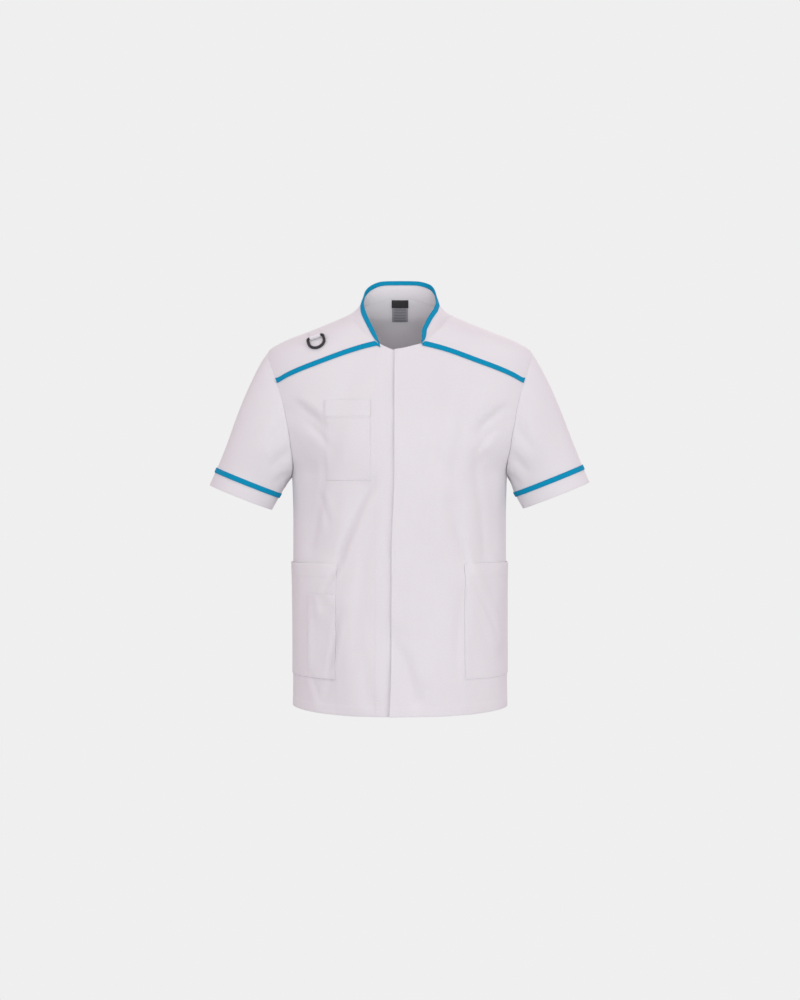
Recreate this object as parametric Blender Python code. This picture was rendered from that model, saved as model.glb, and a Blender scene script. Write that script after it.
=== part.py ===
"""Short-sleeved medical tunic, filled out as it is worn, with no wearer in it.

Metres, +Z up, +X to the wearer's left, -Y to the front. The origin is where a wearer's shoulders
hold the tunic: midway between the neck ends of the two shoulder seams.

Every cloth panel is a wall on one trunk skin, one sleeve or one collar. A point of the trunk skin is
an angle and a height: the angle is 0 at the centre front, 90 degrees at the wearer's left side,
-90 degrees at the right side and 180 degrees at the centre back, and the height is above the hem.
"""

import math

import bmesh
import bpy
import numpy as np
from mathutils import Matrix, Vector

# Sides of the trunk and of the wearer
FRONT, BACK = 1, -1
RIGHT, LEFT = -1, 1
SIDES = ((LEFT, "left"), (RIGHT, "right"))

# Cloth and seams
WALL = 0.0012
SEAM_GAP = 0.0004
LIFT = 0.0003

# Heights above the hem
HEM = 0.0
HEM_SIDE_RISE = 0.0065
HEM_RISE_END = 0.11
HIP_POCKET_BOTTOM = 0.063
SMALL_POCKET_MOUTH = 0.213
HIP_POCKET_MOUTH = 0.268
CHEST_POCKET_BOTTOM = 0.415
UNDERARM = 0.426
CHEST_POCKET_MOUTH = 0.558
YOKE_END = 0.596
NECK_LOW = 0.649
SHOULDER_TIP = 0.6525
NECK_CORNER = 0.661
SHOULDER_NECK = 0.7205
BACK_NECK = 0.7570
BACK_NECK_CURVE = 1.4
HOLD_HEIGHT = SHOULDER_NECK

# Distances from the centre line
RIGHT_UNDERLAP = 0.022
NECK_LOW_X = -0.010
NECK_CORNER_X = 0.039
CHEST_POCKET_INNER_X = 0.052
HIP_POCKET_INNER_X = 0.1145
CHEST_POCKET_OUTER_X = 0.134

# Side seam and armhole, in degrees round the trunk
SIDE_SEAM_AT_UNDERARM = 90.0
SIDE_SEAM_AT_HIP = 97.0
ARMHOLE_FRONT_REACH = 33.0
ARMHOLE_BACK_REACH = 31.0

# How finely the panels are divided
ROW_STEP = 0.036
COLUMN_STEP = 0.028
SIDE_SHARES = (0.23, 0.42, 0.62, 0.81, 1.0)
ARMHOLE_LOW_STEPS = 6
ARMHOLE_MID_STEPS = 2
ARMHOLE_HIGH_STEPS = 6
BACK_NECK_STEPS = 5
SHOULDER_STEPS = 5

# Horizontal sections of the trunk, from the hem to the neck
TRUNK_COLUMNS = ("height", "half_width", "front", "back", "side_line", "squareness")
TRUNK = np.array(
    [
        (0.0000, 0.1970, 0.1500, 0.1330, 0.000, 2.06),
        (0.0800, 0.1965, 0.1490, 0.1290, 0.000, 2.06),
        (0.2300, 0.1955, 0.1450, 0.1230, 0.000, 2.08),
        (0.3400, 0.1950, 0.1410, 0.1240, 0.000, 2.10),
        (0.4260, 0.1970, 0.1380, 0.1290, 0.000, 2.12),
        (0.4800, 0.2225, 0.1340, 0.1320, 0.000, 2.18),
        (0.5350, 0.2430, 0.1290, 0.1300, 0.002, 2.26),
        (0.5960, 0.2500, 0.1180, 0.1220, 0.004, 2.35),
        (0.6300, 0.2490, 0.1070, 0.1130, 0.005, 2.40),
        (0.6525, 0.2410, 0.0980, 0.1040, 0.006, 2.40),
        (0.6690, 0.2160, 0.0910, 0.0970, 0.007, 2.38),
        (0.6910, 0.1620, 0.0810, 0.0875, 0.008, 2.32),
        (0.7100, 0.1165, 0.0710, 0.0785, 0.008, 2.20),
        (0.7205, 0.0960, 0.0650, 0.0730, 0.008, 2.10),
        (0.7520, 0.0780, 0.0560, 0.0650, 0.008, 2.00),
    ]
)

# The left front's free edge, which laps over the right front
LAP_EDGE = np.array(
    [
        (0.000, -0.0185),
        (0.100, -0.0155),
        (0.300, -0.0150),
        (0.420, -0.0105),
        (0.600, -0.0105),
        (0.649, -0.0100),
    ]
)
LAP_STEP = WALL + 0.0007
LAP_INNER_X = 0.0195
LAP_OUTER_X = 0.037

# Seam between front and yoke, from the neck corner to the armhole: distance from the centre, height
YOKE_SEAM = np.array(
    [
        (0.0390, 0.6610),
        (0.0620, 0.6555),
        (0.0900, 0.6470),
        (0.1450, 0.6270),
        (0.2000, 0.6060),
        (0.2200, 0.5960),
    ]
)

# Seam between yoke and collar, from the neck corner to the shoulder: height, distance from the centre
NECK_SEAM = np.array(
    [
        (0.6610, 0.0390),
        (0.6695, 0.0505),
        (0.6790, 0.0620),
        (0.6935, 0.0765),
        (0.7080, 0.0865),
        (0.7205, 0.0960),
    ]
)

# The collar's top edge, by its share of the way from the neck corner to the centre back
COLLAR_TOP = np.array(
    [
        (0.000, 0.0365, -0.0800, 0.6660),
        (0.115, 0.0470, -0.0680, 0.6810),
        (0.250, 0.0560, -0.0500, 0.6990),
        (0.370, 0.0635, -0.0280, 0.7180),
        (0.500, 0.0680, 0.0010, 0.7400),
        (0.630, 0.0655, 0.0300, 0.7610),
        (0.760, 0.0550, 0.0540, 0.7770),
        (0.880, 0.0340, 0.0710, 0.7870),
        (1.000, 0.0000, 0.0770, 0.7905),
    ]
)
COLLAR_ROWS = 4
COLLAR_SEAM_RISE = 0.0005
COLLAR_HOLLOW = 0.0035

# How far the collar's top edge leans in at each side of the neck, starts further out at the corner,
# and stands up towards the back
COLLAR_LEAN = {RIGHT: (0.0025, 0.0022, 0.0020), LEFT: (0.0100, 0.0020, 0.0050)}

# Largest folds: face, then start and end as distance from the centre and height, half width and height of the fold
FOLDS = (
    (FRONT, -0.062, 0.403, -0.110, 0.280, 0.017, -0.0040),
    (FRONT, 0.097, 0.371, 0.117, 0.262, 0.017, -0.0030),
    (FRONT, 0.120, 0.250, 0.168, 0.130, 0.020, 0.0030),
    (FRONT, -0.004, 0.138, 0.030, 0.030, 0.020, -0.0030),
    (FRONT, -0.090, 0.190, -0.080, 0.020, 0.026, 0.0040),
    (FRONT, -0.185, 0.535, -0.140, 0.505, 0.018, -0.0045),
    (FRONT, 0.185, 0.530, 0.145, 0.500, 0.018, -0.0045),
    (FRONT, -0.162, 0.470, -0.160, 0.300, 0.020, -0.0035),
    (FRONT, 0.155, 0.450, 0.158, 0.290, 0.020, -0.0035),
    (BACK, -0.060, 0.330, -0.085, 0.040, 0.026, 0.0045),
    (BACK, 0.065, 0.350, 0.080, 0.050, 0.026, 0.0040),
    (BACK, -0.180, 0.520, -0.110, 0.420, 0.022, -0.0045),
    (BACK, 0.180, 0.520, 0.115, 0.415, 0.022, -0.0045),
)

# Cuff of each sleeve: its centre's distance from the centre line and height, half width, half depth
CUFFS = {
    RIGHT: (0.2918, 0.3852, 0.0612, 0.0650),
    LEFT: (0.2865, 0.3890, 0.0655, 0.0605),
}
CUFF_Y = -0.002
CUFF_TILT = math.radians(21.8)
BAND_LEAN = math.radians(26.5)
BAND_DEPTH = 0.030
BAND_EASE = 0.0014
SLEEVE_START = Vector((0.56, 0.0, -0.83))
SLEEVE_FULLNESS = 0.20
SLEEVE_SHARES = (0.0, 0.08, 0.2, 0.35, 0.52, 0.7, 0.86, 1.0)
BAND_SHARES = (0.0, 0.5, 1.0)
SLEEVE_FOLD = 0.004

# Pockets
HIP_BULGE = 0.0032
CHEST_BULGE = 0.0012

# Contrast trim
TRIM_WIDTH = 0.0095
TRIM_THICKNESS = 0.001
TRIM_END_GAP = 0.0010
TRIM_MITRE = 1.15
BINDING_WIDTH = 0.0075
BINDING_LEG = 0.0009
BINDING_SEAM_GAP = 0.0015

# Labels inside the back neck: half width, top and bottom
BRAND_LABEL = (0.0160, 0.7545, 0.7410)
CARE_LABEL = (0.0150, 0.7403, 0.7160)
LABEL_THICKNESS = 0.001
LABEL_INSET = WALL + 0.0010

# Ring on the right yoke
RING_X = -0.1515
RING_HEIGHT = 0.6705
RING_TURN = math.radians(26.0)
RING_DROOP = math.radians(12.7)
RING_WIRE = 0.0026
RING_HALF_WIDTH = 0.0146
RING_SIDE = 0.0100
RING_ROUND_STEPS = 14
RING_CORNER = 0.0030
TAPE_WIDTH = 0.020
TAPE_PLY = 0.0008
TAPE_CLEARANCE = 0.0004
TAPE_TAIL = 0.024

WHITE = (0.86, 0.85, 0.87)
BLUE = (0.004, 0.26, 0.47)
BLACK = (0.012, 0.012, 0.015)
GREY = (0.45, 0.45, 0.45)


def smooth(table, at, column=1):
    """A column of a table at values of its first column, by a monotone cubic through its rows."""
    xs, ys = table[:, 0], table[:, column]
    step = np.diff(xs)
    slope = np.diff(ys) / step
    tangent = np.empty_like(ys)
    tangent[0], tangent[-1] = slope[0], slope[-1]
    same = slope[:-1] * slope[1:] > 0
    safe = np.where(same, slope[:-1] + slope[1:], 1.0)
    tangent[1:-1] = np.where(same, 2 * slope[:-1] * slope[1:] / safe, 0.0)
    at = np.clip(np.asarray(at, float), xs[0], xs[-1])
    k = np.clip(np.searchsorted(xs, at, side="right") - 1, 0, len(step) - 1)
    t = (at - xs[k]) / step[k]
    return (
        (1 + 2 * t) * (1 - t) ** 2 * ys[k]
        + t * (1 - t) ** 2 * step[k] * tangent[k]
        + t**2 * (3 - 2 * t) * ys[k + 1]
        + t**2 * (t - 1) * step[k] * tangent[k + 1]
    )


def trunk(name, height):
    return smooth(TRUNK, height, TRUNK_COLUMNS.index(name))


def ease(low, high, value):
    """0 at low, 1 at high, with a soft start and end."""
    t = np.clip((value - low) / (high - low), 0, 1)
    return t * t * (3 - 2 * t)


def bare_skin(angle, height):
    """The trunk skin without folds, at an angle in radians and a height above the hem."""
    power = 2 / trunk("squareness", height)
    across, along = np.sin(angle), np.cos(angle)
    depth = np.where(along > 0, trunk("front", height), trunk("back", height))
    x = trunk("half_width", height) * np.sign(across) * np.abs(across) ** power
    y = trunk("side_line", height) - depth * np.sign(along) * np.abs(along) ** power
    to_side = np.abs(x) / trunk("half_width", height)
    rise = HEM_SIDE_RISE * to_side**4 * ease(HEM_RISE_END, HEM, height)
    return np.stack([x, y, height - HOLD_HEIGHT + rise], axis=-1)


def skin_normal(angle, height):
    turn, rise = math.radians(1.5), 0.002
    around = bare_skin(angle + turn, height) - bare_skin(angle - turn, height)
    up = bare_skin(angle, height + rise) - bare_skin(angle, height - rise)
    normal = np.cross(around, up)
    return normal / np.linalg.norm(normal, axis=-1, keepdims=True)


def fold_height(x, height, angle):
    """How far the folds lift the skin. They fade out towards the side seams and the shoulder."""
    total = np.zeros_like(x + height)
    for face, x0, h0, x1, h1, half_width, tall in FOLDS:
        length2 = (x1 - x0) ** 2 + (h1 - h0) ** 2
        share = np.clip(
            ((x - x0) * (x1 - x0) + (height - h0) * (h1 - h0)) / length2, 0, 1
        )
        away2 = (x - x0 - share * (x1 - x0)) ** 2 + (
            height - h0 - share * (h1 - h0)
        ) ** 2
        total += tall * np.exp(-away2 / half_width**2) * (face * np.cos(angle) > 0)
    return total * ease(0.05, 0.4, np.abs(np.cos(angle))) * ease(0.66, 0.60, height)


def skin(angle, height):
    """Points and outward normals of the trunk skin."""
    angle, height = np.broadcast_arrays(
        np.asarray(angle, float), np.asarray(height, float)
    )
    points = bare_skin(angle, height)
    normals = skin_normal(angle, height)
    lift = fold_height(points[..., 0], height, angle)
    return points + normals * lift[..., None], normals


def angle_at(x, height, face):
    """The angle of the skin point at a distance from the centre line on the front or the back."""
    share = np.clip(np.abs(x) / trunk("half_width", height), 0, 1) ** (
        trunk("squareness", height) / 2
    )
    from_centre = np.arcsin(share)
    angle = from_centre if face == FRONT else math.pi - from_centre
    return np.where(np.asarray(x) < 0, -angle, angle)


def filled(stops, step):
    """The stops with equal steps, no longer than step, between them."""
    values = [stops[0]]
    for low, high in zip(stops, stops[1:]):
        count = max(1, math.ceil((high - low) / step - 1e-6))
        values += [low + (high - low) * k / count for k in range(1, count + 1)]
    return values


def armhole_height(turn):
    """Height on the armhole, by a turn of 0 at the underarm and pi at the shoulder tip."""
    return (UNDERARM + SHOULDER_TIP) / 2 - (SHOULDER_TIP - UNDERARM) / 2 * np.cos(turn)


def armhole_turn(height):
    middle, half = (UNDERARM + SHOULDER_TIP) / 2, (SHOULDER_TIP - UNDERARM) / 2
    return math.acos(np.clip((middle - height) / half, -1, 1))


def armhole_angle(turn, face):
    reach = ARMHOLE_FRONT_REACH if face == FRONT else ARMHOLE_BACK_REACH
    return math.pi / 2 - face * math.radians(reach) * np.sin(turn)


def armhole_turns():
    """Turns of the rows that end on the armhole: below the pocket mouth, up to the yoke, up to the tip."""
    mouth, yoke = armhole_turn(CHEST_POCKET_MOUTH), armhole_turn(YOKE_END)
    low = np.linspace(0, mouth, ARMHOLE_LOW_STEPS + 1)
    middle = np.linspace(mouth, yoke, ARMHOLE_MID_STEPS + 1)
    high = np.linspace(yoke, math.pi, ARMHOLE_HIGH_STEPS + 1)
    return low, middle, high


LOW_TURNS, MID_TURNS, HIGH_TURNS = armhole_turns()
SIDE_HEIGHTS = filled(
    (
        HEM,
        HIP_POCKET_BOTTOM,
        SMALL_POCKET_MOUTH,
        HIP_POCKET_MOUTH,
        CHEST_POCKET_BOTTOM,
        UNDERARM,
    ),
    ROW_STEP,
)
LEVEL_HEIGHTS = np.array(SIDE_HEIGHTS[:-1] + list(armhole_height(LOW_TURNS)))
SIDE_ROWS = len(SIDE_HEIGHTS) - 1


def edge_angle(row, face):
    """Angle of the side seam or the armhole on one level row, on the wearer's left."""
    if row >= SIDE_ROWS:
        return armhole_angle(LOW_TURNS[row - SIDE_ROWS], face)
    back = ease(UNDERARM, HIP_POCKET_MOUTH, LEVEL_HEIGHTS[row])
    turn = SIDE_SEAM_AT_UNDERARM + back * (SIDE_SEAM_AT_HIP - SIDE_SEAM_AT_UNDERARM)
    return math.radians(turn)


def neckline(x, side):
    """Height of the front neckline, which is lowest where the left front's edge crosses it."""
    if side == RIGHT:
        share = (NECK_LOW_X - x) / (NECK_LOW_X + NECK_CORNER_X)
    else:
        share = (x - NECK_LOW_X) / (NECK_CORNER_X - NECK_LOW_X)
    return NECK_LOW + (NECK_CORNER - NECK_LOW) * np.clip(share, 0, 1) ** 1.15


def front_columns(side, height):
    """Distances from the centre of a front's plumb columns, as the wearer's left has them."""
    edge = float(smooth(LAP_EDGE, height))
    inner = (edge, 0.0, RIGHT_UNDERLAP) if side == LEFT else (-RIGHT_UNDERLAP, 0.0, -edge)
    outer = filled(
        (
            NECK_CORNER_X,
            CHEST_POCKET_INNER_X,
            HIP_POCKET_INNER_X,
            CHEST_POCKET_OUTER_X,
        ),
        COLUMN_STEP,
    )
    return np.array([*inner, *outer])


def front_grid(side):
    """Angles and heights of one front, rows from the hem to the yoke seam."""
    angles, heights = [], []
    for row, height in enumerate(LEVEL_HEIGHTS):
        columns = front_columns(side, height)
        inner = angle_at(columns, height, FRONT)
        edge = edge_angle(row, FRONT)
        sides = [inner[-1] + share * (edge - inner[-1]) for share in SIDE_SHARES]
        angles.append(np.concatenate([inner, sides]))
        heights.append(np.full(len(angles[-1]), height))
    level_x = bare_skin(angles[-1], heights[-1])[:, 0]
    top_x = yoke_seam_x(side)
    top = np.where(
        top_x < NECK_CORNER_X - 1e-6,
        neckline(side * top_x, side),
        smooth(YOKE_SEAM, top_x),
    )
    for turn in MID_TURNS[1:]:
        rise = (armhole_height(turn) - CHEST_POCKET_MOUTH) / (
            YOKE_END - CHEST_POCKET_MOUTH
        )
        height = CHEST_POCKET_MOUTH + (top - CHEST_POCKET_MOUTH) * rise
        x = level_x + (top_x - level_x) * rise
        angle = angle_at(x, height, FRONT)
        angle[-1] = armhole_angle(turn, FRONT)
        angles.append(angle)
        heights.append(height)
    return side * np.array(angles), np.array(heights)


def yoke_seam_x(side):
    """Distances from the centre of the columns along a front's top edge."""
    inner = front_columns(side, NECK_LOW)
    end = bare_skin(armhole_angle(MID_TURNS[-1], FRONT), YOKE_END)[0]
    sides = [inner[-1] + share * (end - inner[-1]) for share in SIDE_SHARES]
    return np.concatenate([inner, sides])


def blended(left, right, bottom, top, shares, rises):
    """A grid between four edges, each a list of points: rows go from bottom to top."""
    left, right, bottom, top = (np.asarray(e, float) for e in (left, right, bottom, top))
    s = np.asarray(shares)[None, :, None]
    r = np.asarray(rises)[:, None, None]
    across = (1 - s) * left[:, None] + s * right[:, None]
    upward = (1 - r) * bottom[None] + r * top[None]
    corners = (1 - r) * ((1 - s) * bottom[0] + s * bottom[-1]) + r * (
        (1 - s) * top[0] + s * top[-1]
    )
    return across + upward - corners


def high_rises(low_height):
    heights = armhole_height(np.concatenate([MID_TURNS[1:], HIGH_TURNS[1:]]))
    rises = (heights - low_height) / (SHOULDER_TIP - low_height)
    return rises[rises > 1e-6]


def shoulder_line(count):
    """The shoulder seam from the neck to the tip, as distance from the centre and height."""
    heights = np.linspace(SHOULDER_NECK, SHOULDER_TIP, count + 1)
    return np.stack([trunk("half_width", heights), heights], axis=-1)


def yoke_grid(side):
    """Angles and heights of one yoke, rows from the seam over the front to the shoulder seam."""
    angles, heights = front_grid(side)
    corner = int(np.argmin(np.abs(yoke_seam_x(side) - NECK_CORNER_X)))
    bottom_x = yoke_seam_x(side)[corner:]
    bottom = np.stack([bottom_x, heights[-1][corner:]], axis=-1)
    rises = np.concatenate([[0], high_rises(YOKE_END)])
    neck_height = NECK_CORNER + (SHOULDER_NECK - NECK_CORNER) * rises
    left = np.stack([smooth(NECK_SEAM, neck_height), neck_height], axis=-1)
    edge_height = YOKE_END + (SHOULDER_TIP - YOKE_END) * rises
    edge_x = bare_skin(armhole_angle(HIGH_TURNS, FRONT), edge_height)[:, 0]
    right = np.stack([edge_x, edge_height], axis=-1)
    columns = len(bottom_x)
    top = shoulder_line(columns - 1)
    grid = blended(left, right, bottom, top, np.linspace(0, 1, columns), rises)
    grid_angles = angle_at(grid[..., 0], grid[..., 1], FRONT)
    grid_angles[:, -1] = armhole_angle(HIGH_TURNS, FRONT)
    grid_angles[0] = np.abs(angles[-1][corner:])
    grid_angles[-1] = math.pi / 2
    return side * grid_angles, grid[..., 1]


def back_neck_line():
    """The back neck seam from the centre back to the shoulder, as distance from the centre and height."""
    turn = np.linspace(0, math.pi / 2, BACK_NECK_STEPS + 1)
    rise = np.clip(np.cos(turn), 0, 1) ** BACK_NECK_CURVE
    height = SHOULDER_NECK + (BACK_NECK - SHOULDER_NECK) * rise
    power = 2 / trunk("squareness", height)
    return np.stack([trunk("half_width", height) * np.sin(turn) ** power, height], axis=-1)


def half_back_grid():
    """Angles and heights of the back from its centre to the wearer's left, rows from the hem up."""
    shoulder = shoulder_line(SHOULDER_STEPS)
    top = np.concatenate([back_neck_line(), shoulder[1:]])
    shares = np.linspace(0, 1, len(top))
    angles = [
        math.pi + shares * (edge_angle(row, BACK) - math.pi)
        for row in range(len(LEVEL_HEIGHTS))
    ]
    heights = [np.full(len(top), height) for height in LEVEL_HEIGHTS]
    level = bare_skin(angles[-1], heights[-1])
    bottom = np.stack([level[:, 0], heights[-1]], axis=-1)
    turns = np.concatenate([MID_TURNS, HIGH_TURNS[1:]])
    rises = (armhole_height(turns) - CHEST_POCKET_MOUTH) / (
        SHOULDER_TIP - CHEST_POCKET_MOUTH
    )
    centre_height = CHEST_POCKET_MOUTH + (BACK_NECK - CHEST_POCKET_MOUTH) * rises
    left = np.stack([np.zeros_like(centre_height), centre_height], axis=-1)
    edge_height = armhole_height(turns)
    edge_x = bare_skin(armhole_angle(turns, BACK), edge_height)[:, 0]
    right = np.stack([edge_x, edge_height], axis=-1)
    grid = blended(left, right, bottom, top, shares, rises)[1:]
    high = angle_at(grid[..., 0], grid[..., 1], BACK)
    high[:, -1] = armhole_angle(turns[1:], BACK)
    high[-1, BACK_NECK_STEPS:] = math.pi / 2
    return (
        np.concatenate([np.array(angles), high]),
        np.concatenate([np.array(heights), grid[..., 1]]),
    )


def material(name, colour, roughness, metallic=0.0):
    made = bpy.data.materials.new(name)
    made.use_nodes = True
    shader = made.node_tree.nodes["Principled BSDF"]
    shader.inputs["Base Color"].default_value = (*colour, 1.0)
    shader.inputs["Roughness"].default_value = roughness
    shader.inputs["Metallic"].default_value = metallic
    return made


def pulled_in(grid, by, ring):
    """The grid with its free edges drawn in, so that the pieces sewn to it stay clear."""
    moved = grid.copy()
    for edge, inside in ((0, 1), (-1, -2)):
        step = grid[inside] - grid[edge]
        moved[edge] += step / np.linalg.norm(step, axis=-1, keepdims=True) * by
    if not ring:
        for edge, inside in ((0, 1), (-1, -2)):
            step = grid[:, inside] - grid[:, edge]
            moved[:, edge] += step / np.linalg.norm(step, axis=-1, keepdims=True) * by
    return moved


def wall_object(name, outer, inner, finish, collection, ring=False):
    """A closed wall between two grids of points. A ring's rows close on themselves."""
    outer = pulled_in(outer, SEAM_GAP / 2, ring)
    inner = pulled_in(inner, SEAM_GAP / 2, ring)
    rows, columns = outer.shape[:2]
    mesh = bpy.data.meshes.new(name)
    shell = bmesh.new()
    layers = [
        [[shell.verts.new(p) for p in row] for row in layer] for layer in (outer, inner)
    ]
    steps = columns if ring else columns - 1
    for layer in layers:
        for r in range(rows - 1):
            for c in range(steps):
                n = (c + 1) % columns
                add_quad(shell, layer[r][c], layer[r][n], layer[r + 1][n], layer[r + 1][c])
    out, within = layers
    for r in (0, rows - 1):
        for c in range(steps):
            n = (c + 1) % columns
            add_quad(shell, out[r][c], out[r][n], within[r][n], within[r][c])
    for c in () if ring else (0, columns - 1):
        for r in range(rows - 1):
            add_quad(shell, out[r][c], out[r + 1][c], within[r + 1][c], within[r][c])
    bmesh.ops.recalc_face_normals(shell, faces=shell.faces)
    shell.to_mesh(mesh)
    shell.free()
    return finished(name, mesh, finish, collection)


def add_quad(shell, a, b, c, d):
    """Two triangles that share the line from a to c, so that layered pieces bend alike."""
    shell.faces.new((a, b, c))
    shell.faces.new((a, c, d))


def finished(name, mesh, finish, collection):
    mesh.shade_smooth()
    mesh.set_sharp_from_angle(angle=math.radians(40))
    mesh.materials.append(finish)
    made = bpy.data.objects.new(name, mesh)
    collection.objects.link(made)
    return made


def panel(name, angles, heights, finish, collection, inset=0.0, outer=0.0, inner=-WALL):
    """A wall on the trunk skin: inset moves it in, outer and inner are its two faces."""
    points, normals = skin(angles, heights)
    faces = []
    for face in (outer - inset, inner - inset):
        moved = points + normals * np.broadcast_to(face, angles.shape)[..., None]
        # All columns run from the wearer's right to the left, so that layered panels divide alike.
        faces.append(moved if angles[0, 0] < angles[0, -1] else moved[:, ::-1])
    return wall_object(name, *faces, finish, collection)


def make_fronts(white, collection):
    for side, name in SIDES:
        angles, heights = front_grid(side)
        from_centre = side * bare_skin(angles, heights)[..., 0]
        under = ease(LAP_OUTER_X, LAP_INNER_X, from_centre) if side == RIGHT else 0.0
        inset = LAP_STEP * under
        panel(f"front_{name}", angles, heights, white, collection, inset=inset)


def make_back(white, collection):
    angles, heights = half_back_grid()
    angles = np.concatenate([-angles[:, :0:-1], angles], axis=1)
    heights = np.concatenate([heights[:, :0:-1], heights], axis=1)
    panel("back", angles, heights, white, collection)


def make_yokes(white, collection):
    for side, name in SIDES:
        panel(f"yoke_{name}", *yoke_grid(side), white, collection)


def rows_between(low, high):
    """Rows of a front's grid between two heights."""
    first = int(np.argmin(np.abs(LEVEL_HEIGHTS - low)))
    last = int(np.argmin(np.abs(LEVEL_HEIGHTS - high)))
    return slice(first, last + 1)


def columns_between(low, high):
    """Plumb columns of a front between two distances from the centre; no high runs to the side."""
    plumb = front_columns(LEFT, HEM)
    first = int(np.argmin(np.abs(plumb - low)))
    last = None if high is None else int(np.argmin(np.abs(plumb - high))) + 1
    return slice(first, last)


def pocket_bulge(rows, columns, tall):
    """A pocket stands off most at the middle of its mouth."""
    across = np.sin(np.linspace(0, math.pi, columns)) ** 0.7
    upward = np.linspace(0, 1, rows) ** 3
    return tall * upward[:, None] * across[None, :]


def make_pockets(white, collection):
    for side, name in SIDES:
        angles, heights = front_grid(side)
        part = (
            rows_between(HIP_POCKET_BOTTOM, HIP_POCKET_MOUTH),
            columns_between(HIP_POCKET_INNER_X, None),
        )
        a, h = angles[part], heights[part]
        stand = LIFT + pocket_bulge(*a.shape, HIP_BULGE)
        outer = stand + WALL
        panel(f"pocket_hip_{name}", a, h, white, collection, outer=outer, inner=stand)
        if side == RIGHT:
            low = rows_between(HIP_POCKET_BOTTOM, SMALL_POCKET_MOUTH)
            count = low.stop - low.start
            small = (slice(0, count), slice(0, 3))
            over = stand[small] + WALL + LIFT
            panel(
                "pocket_small",
                a[small],
                h[small],
                white,
                collection,
                outer=over + WALL,
                inner=over,
            )
            part = (
                rows_between(CHEST_POCKET_BOTTOM, CHEST_POCKET_MOUTH),
                columns_between(CHEST_POCKET_INNER_X, CHEST_POCKET_OUTER_X),
            )
            a, h = angles[part], heights[part]
            stand = LIFT + pocket_bulge(*a.shape, CHEST_BULGE)
            panel(
                "pocket_chest", a, h, white, collection, outer=stand + WALL, inner=stand
            )


def armhole_ring(side):
    """Points round one armhole, from the underarm up the front, over the tip and down the back."""
    front = np.concatenate([LOW_TURNS, MID_TURNS[1:], HIGH_TURNS[1:]])
    back = front[-2:0:-1]
    turns = np.concatenate([front, back])
    faces = np.array([FRONT] * len(front) + [BACK] * len(back))
    angles = np.where(
        faces == FRONT, armhole_angle(turns, FRONT), armhole_angle(turns, BACK)
    )
    points, _ = skin(side * angles, armhole_height(turns))
    return points, turns, faces


def sleeve_rings(side):
    """The armhole ring, the ring at the hem band's seam and the cuff ring, point for point."""
    start, turns, faces = armhole_ring(side)
    up = np.array([side * math.cos(CUFF_TILT), 0.0, math.sin(CUFF_TILT)])
    cuff_x, cuff_height, half_width, half_depth = CUFFS[side]
    cuff = np.array([side * cuff_x, CUFF_Y, cuff_height - HOLD_HEIGHT])
    lean = np.array([side * math.sin(BAND_LEAN), 0.0, -math.cos(BAND_LEAN)])
    rings = [start]
    for centre, wider in ((cuff - lean * BAND_DEPTH, BAND_EASE), (cuff, 0)):
        reach = -np.cos(turns)[:, None] * (half_width + wider) * up
        depth = np.zeros_like(reach)
        depth[:, 1] = -faces * np.sin(turns) * (half_depth + wider)
        rings.append(centre + reach + depth)
    return rings, turns, faces


def sleeve_grid(side):
    """Rings from the armhole to the hem band's seam, each point on a smooth curve between them."""
    (start, seam, cuff), turns, faces = sleeve_rings(side)
    leave = np.tile(np.array(SLEEVE_START) * (side, 1, 1), (len(turns), 1))
    leave[:, 1] -= faces * np.sin(turns) * SLEEVE_FULLNESS
    arrive = cuff - seam
    arrive /= np.linalg.norm(arrive, axis=1, keepdims=True)
    reach = np.linalg.norm(seam - start, axis=1, keepdims=True)
    rows = []
    for t in SLEEVE_SHARES:
        row = (
            (1 + 2 * t) * (1 - t) ** 2 * start
            + t * (1 - t) ** 2 * reach * leave
            + t**2 * (3 - 2 * t) * seam
            + t**2 * (t - 1) * reach * arrive
        )
        soft = SLEEVE_FOLD * math.sin(math.pi * t) ** 2 * np.sin(turns) ** 4
        row[:, 1] += faces * soft * np.sin(3 * turns)
        rows.append(row)
    return np.array(rows)


def grid_normals(grid):
    """Outward normals of a ring of rows that runs down a sleeve."""
    around = np.roll(grid, -1, axis=1) - np.roll(grid, 1, axis=1)
    down = np.gradient(grid, axis=0)
    normal = np.cross(down, around)
    normal /= np.linalg.norm(normal, axis=-1, keepdims=True)
    outward = grid - grid.mean(axis=1, keepdims=True)
    sign = np.sign((normal * outward).sum(axis=-1).mean())
    return normal * sign


def make_sleeves(white, blue, collection):
    for side, name in SIDES:
        sleeve = sleeve_grid(side)
        normals = grid_normals(sleeve)
        wall_object(
            f"sleeve_{name}",
            sleeve,
            sleeve - normals * WALL,
            white,
            collection,
            ring=True,
        )
        (_, seam, cuff), _, _ = sleeve_rings(side)
        band = np.array([seam + (cuff - seam) * t for t in BAND_SHARES])
        normals = grid_normals(band)
        wall_object(
            f"sleeve_band_{name}",
            band,
            band - normals * WALL,
            white,
            collection,
            ring=True,
        )
        down = (cuff - seam) / np.linalg.norm(cuff - seam, axis=1, keepdims=True)
        half = TRIM_WIDTH / 2 * down
        trim = np.array([seam - half, seam + half])
        out = normals[0][None]
        wall_object(
            f"piping_sleeve_{name}",
            trim + out * (2 * LIFT + TRIM_THICKNESS),
            trim + out * 2 * LIFT,
            blue,
            collection,
            ring=True,
        )


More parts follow.
